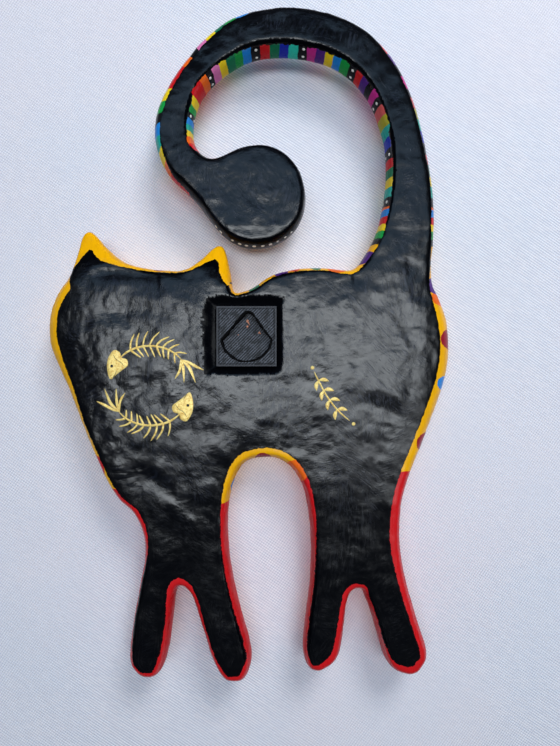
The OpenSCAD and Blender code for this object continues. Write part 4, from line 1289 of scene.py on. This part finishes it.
line("black", [(72, -28.2), (72, -32), (72, -35.8)], 1.3, 0.6, (0.1, 0.1))
line("red", [(66, -45.5), (72, -47.6), (78, -45.5)], 2.2, 0.45, (0.4, 0.4))
for k, (a, l, c) in enumerate(((90, 21, "red"), (66, 17.5, "blue"), (114, 17.5, "blue"), (43, 13, "green"), (137, 13, "green"))):
    petal(c, 72 + 2.0 * math.cos(math.radians(a)), 3 + 2.0 * math.sin(math.radians(a)), a, l, 6.2, 0.45)
    ca, sa = math.cos(math.radians(a)), math.sin(math.radians(a))
    dots("white", [(72 + (l * 0.72 + 2) * ca, 3 + (l * 0.72 + 2) * sa)], 1.25, 0.85)
    dots("white", [(72 + (l + 5) * ca, 3 + (l + 5) * sa)], 0.95)
fp["orange"].dab(72, 3, 2.6, 1.0, F, seg=16)
dots("white", [(72, 3)], 0.9, 1.45)
line("magenta", [(72, -2), (71.6, -9), (72, -16)], 2.4, 0.45, (0.3, 0.3))
dots("yellow", [(72, -5), (71.8, -9), (72, -13)], 0.7, 0.85)
# inside the ears
for pts, tip, sx in (([(99, 41.5), (105, 51), (110.4, 55.5), (113.6, 51), (115, 42), (107, 39.5)], (109.5, 51), 1),
                     ([(17, 34), (17.8, 42), (20.6, 46.8), (25, 44.5), (32, 37.5), (25, 33.5)], (21.4, 42.6), -1)):
    fp["magenta"].fill(pts, 0.4, F)
    mid_e = np.mean(pts, 0)
    for g in (0.15, 0.5, 0.85):
        q = np.array(tip) * (1 - g) + (mid_e + np.array([0, -2.5])) * g
        dots("white", [q], 0.85, 0.8)
# a beaded collar under the head
col_pts = circle(72, -16, 60, 49, 205, 325, 60)
line("red", col_pts, 5.2, 0.5, (0.05, 0.05))
line("black", circle(72, -16, 63.2, 52, 206, 324, 60), 1.0, 0.45, (0.05, 0.05))
line("black", circle(72, -16, 56.8, 46, 204, 326, 60), 1.0, 0.45, (0.05, 0.05))
for k, t in enumerate(np.radians(np.linspace(208, 322, 25))):
    dots(("yellow", "white")[k % 2], [(72 + 60 * math.cos(t), -16 + 49 * math.sin(t))], 1.35, 0.95)
for piece in fp.values():
    piece.done()

# ---------------------------------------------------------------- finishes of the pieces kept from the frame
def give(mat, *names):
    for nm in names:
        nodes[nm].data.materials.clear()
        nodes[nm].data.materials.append(mat)


t = Tree("eye_paint")
P = t.pos()
sep = t.t.nodes.new("ShaderNodeSeparateXYZ")
t.put(sep.inputs[0], P)
ex = t.math("MULTIPLY", t.math("SUBTRACT", t.math("ABSOLUTE", t.math("SUBTRACT", sep.outputs[0], 0.072)), 0.022), 1000.0)
ez = t.math("MULTIPLY", t.math("ADD", sep.outputs[2], 0.006), 1000.0)
er = t.math("SQRT", t.math("ADD", t.math("MULTIPLY", ex, ex), t.math("MULTIPLY", ez, ez)))
turn = t.math("ARCTAN2", ez, ex)
comb = t.t.nodes.new("ShaderNodeCombineXYZ")
t.put(comb.inputs[0], t.math("MULTIPLY", turn, 3.0))
t.put(comb.inputs[1], t.math("MULTIPLY", er, 0.22))
ray = t.noise(comb.outputs[0], 2.6, 3, 0.6)
iris = t.mix(t.ramp(er, 2.0, 6.4), srgb(226, 226, 60), srgb(20, 140, 70))
iris = t.mix(t.ramp(ray, 0.42, 0.62), iris, t.mix(t.ramp(er, 2.0, 6.4), srgb(120, 190, 40), srgb(8, 84, 60)))
white_c = t.mix(t.ramp(t.noise(P, 300, 2), 0.4, 0.7), srgb(246, 244, 236), srgb(232, 222, 200))
eye_c = t.mix(t.math("LESS_THAN", er, 6.9), white_c, srgb(10, 12, 16))
eye_c = t.mix(t.math("LESS_THAN", er, 6.2), eye_c, iris)
slit = t.math("SQRT", t.math("ADD", t.math("POWER", t.math("DIVIDE", ex, 1.9), 2.0), t.math("POWER", t.math("DIVIDE", ez, 5.3), 2.0)))
eye_c = t.mix(t.math("LESS_THAN", slit, 1.0), eye_c, srgb(6, 6, 9))
t.set(Base_Color=eye_c, Roughness=t.ramp(t.noise(P, 900, 2), 0.3, 0.7, 0.1, 0.2), Normal=t.bump(t.math("ADD", ray, t.noise(P, 700, 2)), 0.3, 0.0002), Coat_Weight=0.8, Coat_Roughness=0.06)
give(t.mat, "eye_left", "eye_right")

t = Tree("muzzle_paint")
P = t.pos()
a = t.noise(t.mapping(P, (1, 1, 0.3)), 420, 3, 0.6)
t.set(Base_Color=t.mix(t.ramp(a, 0.38, 0.7), srgb(252, 228, 150), srgb(244, 200, 92)), Roughness=t.ramp(a, 0.3, 0.7, 0.28, 0.42), Normal=t.bump(a, 0.5, 0.0003))
give(t.mat, "muzzle")
t = Tree("nose_paint")
P = t.pos()
a = t.noise(P, 520, 3, 0.6)
cells = t.voronoi(P, 900, "F1")
t.set(Base_Color=t.mix(t.ramp(a, 0.38, 0.7), srgb(26, 20, 24), srgb(9, 8, 11)), Roughness=t.ramp(a, 0.3, 0.7, 0.2, 0.34), Normal=t.bump(t.math("ADD", a, cells), 0.4, 0.0003), Coat_Weight=0.3, Coat_Roughness=0.1)
give(t.mat, "nose")

t = Tree("corrugated_board")
P = t.pos()
flute = t.wave(P, 2 * math.pi / 20 / 0.0062, 0.3, "X", 1, 20)
fibre = t.noise(t.mapping(P, (0.25, 1, 1)), 900, 3, 0.6)
spots = t.noise(P, 60, 3, 0.6)
kraft = t.mix(t.ramp(fibre, 0.35, 0.7), srgb(190, 150, 104), srgb(158, 118, 76))
kraft = t.mix(t.ramp(spots, 0.5, 0.75, 0, 0.4), kraft, srgb(132, 98, 64))
# lighter along the flute ridges: a painted highlight
kraft = t.mix(t.math("MULTIPLY", flute, 0.18), kraft, srgb(206, 168, 122))
t.set(Base_Color=kraft, Roughness=t.ramp(fibre, 0.3, 0.7, 0.75, 0.92), Normal=t.bump(t.math("ADD", t.math("MULTIPLY", flute, 0.6), fibre), 0.5, 0.0003))
give(t.mat, "board_back", "board_middle", "board_front", "ear_card_left", "ear_card_right")
t = Tree("steel_wire")
P = t.pos()
a = t.noise(P, 800, 3, 0.6)
b = t.noise(P, 130, 3, 0.6)
t.set(Base_Color=t.mix(t.ramp(b, 0.5, 0.7), srgb(168, 170, 174), srgb(120, 84, 58)), Metallic=t.ramp(b, 0.5, 0.7, 0.95, 0.4), Roughness=t.ramp(a, 0.3, 0.7, 0.28, 0.55), Normal=t.bump(a, 0.4, 0.0002))
give(t.mat, "tail_wire")
t = Tree("bamboo")
P = t.pos()
grain = t.noise(t.mapping(P, (1, 1, 0.08)), 1400, 3, 0.6)
ring_n = t.wave(P, 2 * math.pi / 20 / 0.045, 1.0, "Z", 1, 8)
c = t.mix(t.ramp(grain, 0.35, 0.7), srgb(214, 184, 124), srgb(176, 136, 78))
c = t.mix(t.ramp(ring_n, 0.94, 1.0), c, srgb(120, 86, 46))
t.set(Base_Color=c, Roughness=t.ramp(grain, 0.3, 0.7, 0.45, 0.65), Normal=t.bump(t.math("ADD", grain, t.ramp(ring_n, 0.9, 1.0)), 0.5, 0.0003))
give(t.mat, "leg_sticks")
t = Tree("crumpled_paper")
P = t.pos()
fold = t.voronoi(t.vmath("ADD", P, t.vmath("SCALE", t.noise(P, 60, 2, colour=True), 0.01)), 120, "DISTANCE_TO_EDGE")
grit = t.noise(P, 1200, 3, 0.6)
# darker along the crease lines: painted shade in the folds
c = t.mix(t.ramp(fold, 0.0, 0.12), srgb(150, 144, 132), srgb(206, 200, 186))
c = t.mix(t.ramp(grit, 0.5, 0.72, 0, 0.5), c, srgb(150, 146, 140))
t.set(Base_Color=c, Roughness=t.ramp(grit, 0.3, 0.7, 0.8, 0.95), Normal=t.bump(t.math("ADD", t.ramp(fold, 0, 0.3), t.math("MULTIPLY", grit, 0.3)), 0.8, 0.0008))
give(t.mat, "head_pad", "haunch_pad", "shoulder_pad", "knob_pad")

# ---------------------------------------------------------------- the hanger block: printed plastic with diagonal lines
block_t = Tree("printed_plastic")
bp = block_t.pos()
lines = block_t.wave(block_t.mapping(bp, rot=(0, math.radians(45), 0)), 2 * math.pi / 20 / 0.0015, 0.9, "X", 2, 90)
grain = block_t.noise(bp, 1500, 3, 0.7)
soft = block_t.noise(bp, 210, 3, 0.6)
split = block_t.t.nodes.new("ShaderNodeSeparateXYZ")
block_t.put(split.inputs[0], bp)
from_mid = block_t.math("MAXIMUM", block_t.math("ABSOLUTE", block_t.math("SUBTRACT", split.outputs[0], 0.001)), block_t.math("ABSOLUTE", block_t.math("ADD", split.outputs[2], 0.0125)))
wall = block_t.math("SUBTRACT", 1.0, block_t.ramp(block_t.math("ABSOLUTE", block_t.math("SUBTRACT", from_mid, 0.0184)), 0.0001, 0.0005))
perimeter_and_highlight = block_t.ramp(from_mid, 0.0187, 0.0193)
lines = block_t.math("MULTIPLY", lines, block_t.math("SUBTRACT", 1.0, perimeter_and_highlight))
# the diagonal print lines: dark in their grooves and light on their ridges, painted shade and painted highlight
col = block_t.mix(block_t.ramp(lines, 0.1, 0.9), srgb(4, 5, 7), srgb(84, 89, 99))
# light speckles: painted glints
col = block_t.mix(block_t.ramp(grain, 0.55, 0.70, 0, 0.9), col, srgb(138, 143, 153))
col = block_t.mix(block_t.ramp(soft, 0.42, 0.66, 0, 0.8), col, srgb(10, 11, 14))
# a lighter band round the face's rim, where the print has its perimeter and no lines: partly the print's own look,
# partly a painted highlight on the edge
col = block_t.mix(block_t.math("MULTIPLY", perimeter_and_highlight, 0.45), col, srgb(74, 77, 85))
# a dark line in the shallow groove just inside that band: painted shade in the groove
col = block_t.mix(block_t.math("MULTIPLY", wall, 0.7), col, srgb(16, 17, 21))
hb = block_t.math("ADD", block_t.math("MULTIPLY", lines, 0.7), block_t.math("MULTIPLY", grain, 0.8))
hb = block_t.math("SUBTRACT", hb, block_t.math("MULTIPLY", wall, 0.8))
block_t.set(Base_Color=col, Roughness=block_t.ramp(grain, 0.3, 0.7, 0.42, 0.62), Normal=block_t.bump(hb, 0.8, 0.0004))
block = nodes["hanger_block"]
block.data.materials.clear()
block.data.materials.append(block_t.mat)
bev = block.modifiers.new("edge", "BEVEL")
bev.width = 0.0005
bev.segments = 3
bev.limit_method = "ANGLE"
bev.angle_limit = math.radians(40)

# the recess: painted shade as a dark band round its edge and another at the foot of its wall, and small chips of bare
# wood-coloured filler on its floor
corner_r = math.hypot(17, 2.8)
arc_a = math.degrees(math.asin(2.8 / corner_r))
recess = []
for x, z, turn in ((18, -15, 1), (-16, -15, -1)):
    a = math.atan2(z, x) + turn * math.acos(4 / math.hypot(x, z))
    recess.append((4 * math.cos(a), 4 * math.sin(a)))
seat_line = [(4 * math.cos(t), 4 * math.sin(t)) for t in np.linspace(math.atan2(recess[0][1], recess[0][0]), math.atan2(recess[1][1], recess[1][0]) % (2 * math.pi), 12)]
drop_line = [(1 + corner_r * math.cos(t), -12.2 + corner_r * math.sin(t)) for t in np.radians(np.linspace(180 + arc_a, 360 - arc_a, 40))]


def band_ring(line, half, y_top, y_low, wob):
    """A rounded dark band along a closed line on a flat face, used as painted shade."""
    p, at, length = resample(np.array(line, float), 0.45)
    tg = np.roll(p, -1, 0) - np.roll(p, 1, 0)
    tg /= np.linalg.norm(tg, axis=1)[:, None]
    nr = np.stack([-tg[:, 1], tg[:, 0]], 1)
    q = np.stack([p[:, 0] / 3.1, p[:, 1] / 3.1, 0 * at], 1)
    w = half * (1 + wob * n2(q))
    off = 0.35 * n3(q * 0.7)
    prof = [(-1.0, 0.0), (-0.7, 0.75), (0.0, 1.0), (0.7, 0.75), (1.0, 0.0)]
    rows = [np.stack([p[:, 0] + nr[:, 0] * (a * w + off), np.full(len(p), y_low + (y_top - y_low) * h), p[:, 1] + nr[:, 1] * (a * w + off)], 1) for a, h in prof]
    n = len(p)
    faces = []
    for j in range(len(prof) - 1):
        for i in range(n):
            k = (i + 1) % n
            faces.append((j * n + i, (j + 1) * n + i, (j + 1) * n + k, j * n + k))
    return np.concatenate(rows), faces


recess_shade_t = Tree("painted_recess_shade")
recess_shade_n = recess_shade_t.noise(recess_shade_t.pos(), 900, 3, 0.6)
recess_shade_t.set(Base_Color=recess_shade_t.mix(recess_shade_n, srgb(1, 1, 2), srgb(6, 6, 8)), Roughness=recess_shade_t.ramp(recess_shade_n, 0.3, 0.7, 0.45, 0.7), Normal=recess_shade_t.bump(recess_shade_n, 0.4, 0.0001), Specular_IOR_Level=0.05)
recess_shade_mat = recess_shade_t.mat
rv, rf = band_ring([tuple(c) for c in seat_line + drop_line], 0.85, 0.08, -0.1, 0.6)
ring = add_mesh("recess_edge_shade", rv, rf, recess_shade_mat)
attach(ring, "root")
fv, ff = band_ring([tuple(c) for c in seat_line + drop_line], 0.9, -5.6, -6.05, 0.6)
floor_shade_ring = add_mesh("recess_floor_shade", fv, ff, recess_shade_mat)
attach(floor_shade_ring, "root")

chip_t = Tree("bare_filler")
chip_n = chip_t.noise(chip_t.pos(), 2600, 3, 0.6)
chip_t.set(Base_Color=chip_t.mix(chip_t.ramp(chip_n, 0.35, 0.65), srgb(226, 160, 128), srgb(176, 104, 74)), Roughness=0.75, Normal=chip_t.bump(chip_n, 0.6, 0.0003))
chip_rng = np.random.default_rng(3)
chip_v, chip_f = [], []
for cx, cz, rx, rz, tilt in ((0.4, -2.4, 0.85, 1.9, -0.45), (0.7, -5.6, 0.6, 0.8, 0.2), (-7.4, -9.8, 1.0, 0.75, 0.6), (7.0, -11.2, 0.4, 0.35, 0.2)):
    base, m = len(chip_v), 11
    for q, y in ((1.0, -6.02), (0.82, -5.72), (0.4, -5.6)):
        for k in range(m):
            a = 2 * math.pi * k / m
            r = q * (1 + 0.32 * math.sin(3 * a + cx) + chip_rng.uniform(-0.14, 0.14))
            u, w = rx * r * math.cos(a), rz * r * math.sin(a)
            chip_v.append((cx + u * math.cos(tilt) - w * math.sin(tilt), y, cz + u * math.sin(tilt) + w * math.cos(tilt)))
    chip_v.append((cx, -5.55, cz))
    for k in range(m):
        j = (k + 1) % m
        chip_f += [(base + k, base + m + k, base + m + j, base + j), (base + m + k, base + 2 * m + k, base + 2 * m + j, base + m + j), (base + 2 * m + k, base + 3 * m, base + 2 * m + j)]
chips = add_mesh("recess_chips", chip_v, chip_f, chip_t.mat)
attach(chips, "root")

# ---------------------------------------------------------------- stage and light
sheet_t = Tree("cloth")
sp = sheet_t.pos()
soft_bend = sheet_t.vmath("SCALE", sheet_t.vmath("SUBTRACT", sheet_t.noise(sp, 3, 1, colour=True), (0.5, 0.5, 0.5)), 0.01)
sq = sheet_t.vmath("ADD", sp, soft_bend)
tw = sheet_t.wave(sheet_t.mapping(sq, rot=(0, math.radians(-56), 0)), 181.0, 0.25, "X", 2, 200)
tw2 = sheet_t.wave(sheet_t.mapping(sq, rot=(0, math.radians(34), 0)), 181.0, 0.25, "X", 2, 200)
part = sheet_t.ramp(sheet_t.noise(sp, 4, 1), 0.42, 0.58, 0.2, 0.62)
tw = sheet_t.math("ADD", sheet_t.math("MULTIPLY", tw, sheet_t.math("SUBTRACT", 1.0, part)), sheet_t.math("MULTIPLY", tw2, part))
weft = sheet_t.noise(sheet_t.mapping(sheet_t.mapping(sq, rot=(0, math.radians(-56), 0)), (1, 1, 0.12)), 900, 2, 0.5)
thread = sheet_t.noise(sheet_t.mapping(sheet_t.mapping(sq, rot=(0, math.radians(20), 0)), (0.2, 1, 1)), 700, 2, 0.5)
fold = sheet_t.noise(sp, 5, 2)
tone = sheet_t.noise(sp, 14, 3, 0.6)
sheet_col = sheet_t.mix(sheet_t.ramp(tw, 0.1, 0.9), srgb(186, 192, 210), srgb(242, 245, 252))
sheet_col = sheet_t.mix(sheet_t.ramp(weft, 0.35, 0.65, 0, 0.35), sheet_col, srgb(206, 207, 220))
sheet_col = sheet_t.mix(sheet_t.ramp(thread, 0.4, 0.65, 0, 0.25), sheet_col, srgb(240, 236, 240))
# broad, slightly darker patches for the cloth's soft folds: painted shade
sheet_col = sheet_t.mix(sheet_t.ramp(fold, 0.35, 0.65, 0, 0.4), sheet_col, srgb(228, 221, 229))
sheet_col = sheet_t.mix(sheet_t.ramp(tone, 0.4, 0.65, 0, 0.25), sheet_col, srgb(212, 220, 234))
sheet_t.set(Base_Color=sheet_col, Roughness=0.9, Normal=sheet_t.bump(sheet_t.math("ADD", tw, sheet_t.math("MULTIPLY", weft, 0.5)), 0.35, 0.0004))
geo = sheet_t.t.nodes.new("ShaderNodeNewGeometry")
see = sheet_t.t.nodes.new("ShaderNodeBsdfTransparent")
pick = sheet_t.t.nodes.new("ShaderNodeMixShader")
path = sheet_t.t.nodes.new("ShaderNodeLightPath")
near = sheet_t.math("LESS_THAN", path.outputs["Ray Length"], 0.0178)
sheet_t.t.links.new(sheet_t.math("MAXIMUM", geo.outputs["Backfacing"], near), pick.inputs[0])
sheet_t.t.links.new(sheet_t.shader.outputs[0], pick.inputs[1])
sheet_t.t.links.new(see.outputs[0], pick.inputs[2])
sheet_t.t.links.new(pick.outputs[0], sheet_t.out.inputs[0])
# the sheet waves a little and is seen from the wall's side only; light passes it just under the figure, so that the front is lit as freely as the back
y0 = cad_lo.y * 1000 - 0.6
gx = np.concatenate([np.linspace(-1400, -420, 8)[:-1], np.linspace(-420, 420, 57), np.linspace(420, 1400, 8)[1:]])
gz = gx.copy()
gv = [(x, y0 - 1.6 * abs(float(n1(np.array([[x / 160, 0.3, z / 160]]))[0])) - 0.8 * abs(float(n2(np.array([[x / 60, 0.3, z / 60]]))[0])), z) for x in gx for z in gz]
m = len(gz)
gf = [(i * m + j, i * m + j + 1, (i + 1) * m + j + 1, (i + 1) * m + j) for i in range(len(gx) - 1) for j in range(m - 1)]
sheet = add_mesh("sheet", gv, gf, sheet_t.mat)
sheet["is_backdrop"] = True

world = bpy.data.worlds.new("world")
world.use_nodes = True
scene.world = world
wt = world.node_tree
wt.nodes.clear()
w_out = wt.nodes.new("ShaderNodeOutputWorld")
w_bg = wt.nodes.new("ShaderNodeBackground")
w_co = wt.nodes.new("ShaderNodeTexCoord")
w_split = wt.nodes.new("ShaderNodeSeparateXYZ")
w_map = wt.nodes.new("ShaderNodeMapRange")
w_map.inputs["From Min"].default_value = -1
w_map.inputs["From Max"].default_value = 1
w_ramp = wt.nodes.new("ShaderNodeValToRGB")
e = w_ramp.color_ramp.elements
e[0].position, e[0].color = 0.0, (0.50, 0.505, 0.53, 1)
e[1].position, e[1].color = 1.0, (0.035, 0.04, 0.05, 1)
for pos, c in ((0.4, (0.42, 0.425, 0.45, 1)), (0.56, (0.10, 0.105, 0.12, 1)), (0.75, (0.045, 0.05, 0.06, 1))):
    x = e.new(pos)
    x.color = c
w_path = wt.nodes.new("ShaderNodeLightPath")
w_mix = wt.nodes.new("ShaderNodeMix")
w_mix.data_type = "RGBA"
w_mix.inputs[7].default_value = (0.69, 0.71, 0.76, 1)
wt.links.new(w_co.outputs["Generated"], w_split.inputs[0])
wt.links.new(w_split.outputs[1], w_map.inputs["Value"])
wt.links.new(w_map.outputs[0], w_ramp.inputs[0])
wt.links.new(w_ramp.outputs[0], w_mix.inputs[6])
wt.links.new(w_path.outputs["Is Camera Ray"], w_mix.inputs[0])
wt.links.new(w_mix.outputs[2], w_bg.inputs[0])
wt.links.new(w_bg.outputs[0], w_out.inputs[0])


def area(name, loc, target, size, power, colour=(1, 1, 1)):
    l = bpy.data.lights.new(name, "AREA")
    l.shape = "RECTANGLE"
    l.size, l.size_y = size
    l.energy = power
    l.color = colour
    o = bpy.data.objects.new(name, l)
    coll.objects.link(o)
    o.location = loc
    o.rotation_euler = (Vector(target) - Vector(loc)).to_track_quat("-Z", "Y").to_euler()
    o.visible_camera = False
    return o


area("window", (-0.05, 1.5, 0.03), (-0.05, 0, 0.03), (1.18, 0.36), 12.2, (0.89, 0.95, 1.0))
area("window_low", (-0.66, 1.5, -0.3), (-0.1, 0, -0.06), (0.36, 0.34), 0.9, (0.9, 0.95, 1.0))
area("sky_panel", (0.0, 1.4, 0.6), (0, 0, 0.1), (1.5, 0.5), 3.2, (0.42, 0.68, 1.0))
area("key", (-0.5, 1.05, 1.0), (0, 0, 0), (0.55, 0.55), 13.5, (1.0, 0.985, 0.96)).visible_glossy = False
area("front_key", (0.5, -1.4, 0.62), (0, 0, 0), (0.8, 0.8), 13, (1.0, 0.98, 0.95))
area("front_fill", (-0.65, -1.35, 0.1), (0, 0, 0), (1.2, 1.2), 8.5, (0.92, 0.96, 1.0))

scene.view_settings.view_transform = "Standard"

lo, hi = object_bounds()
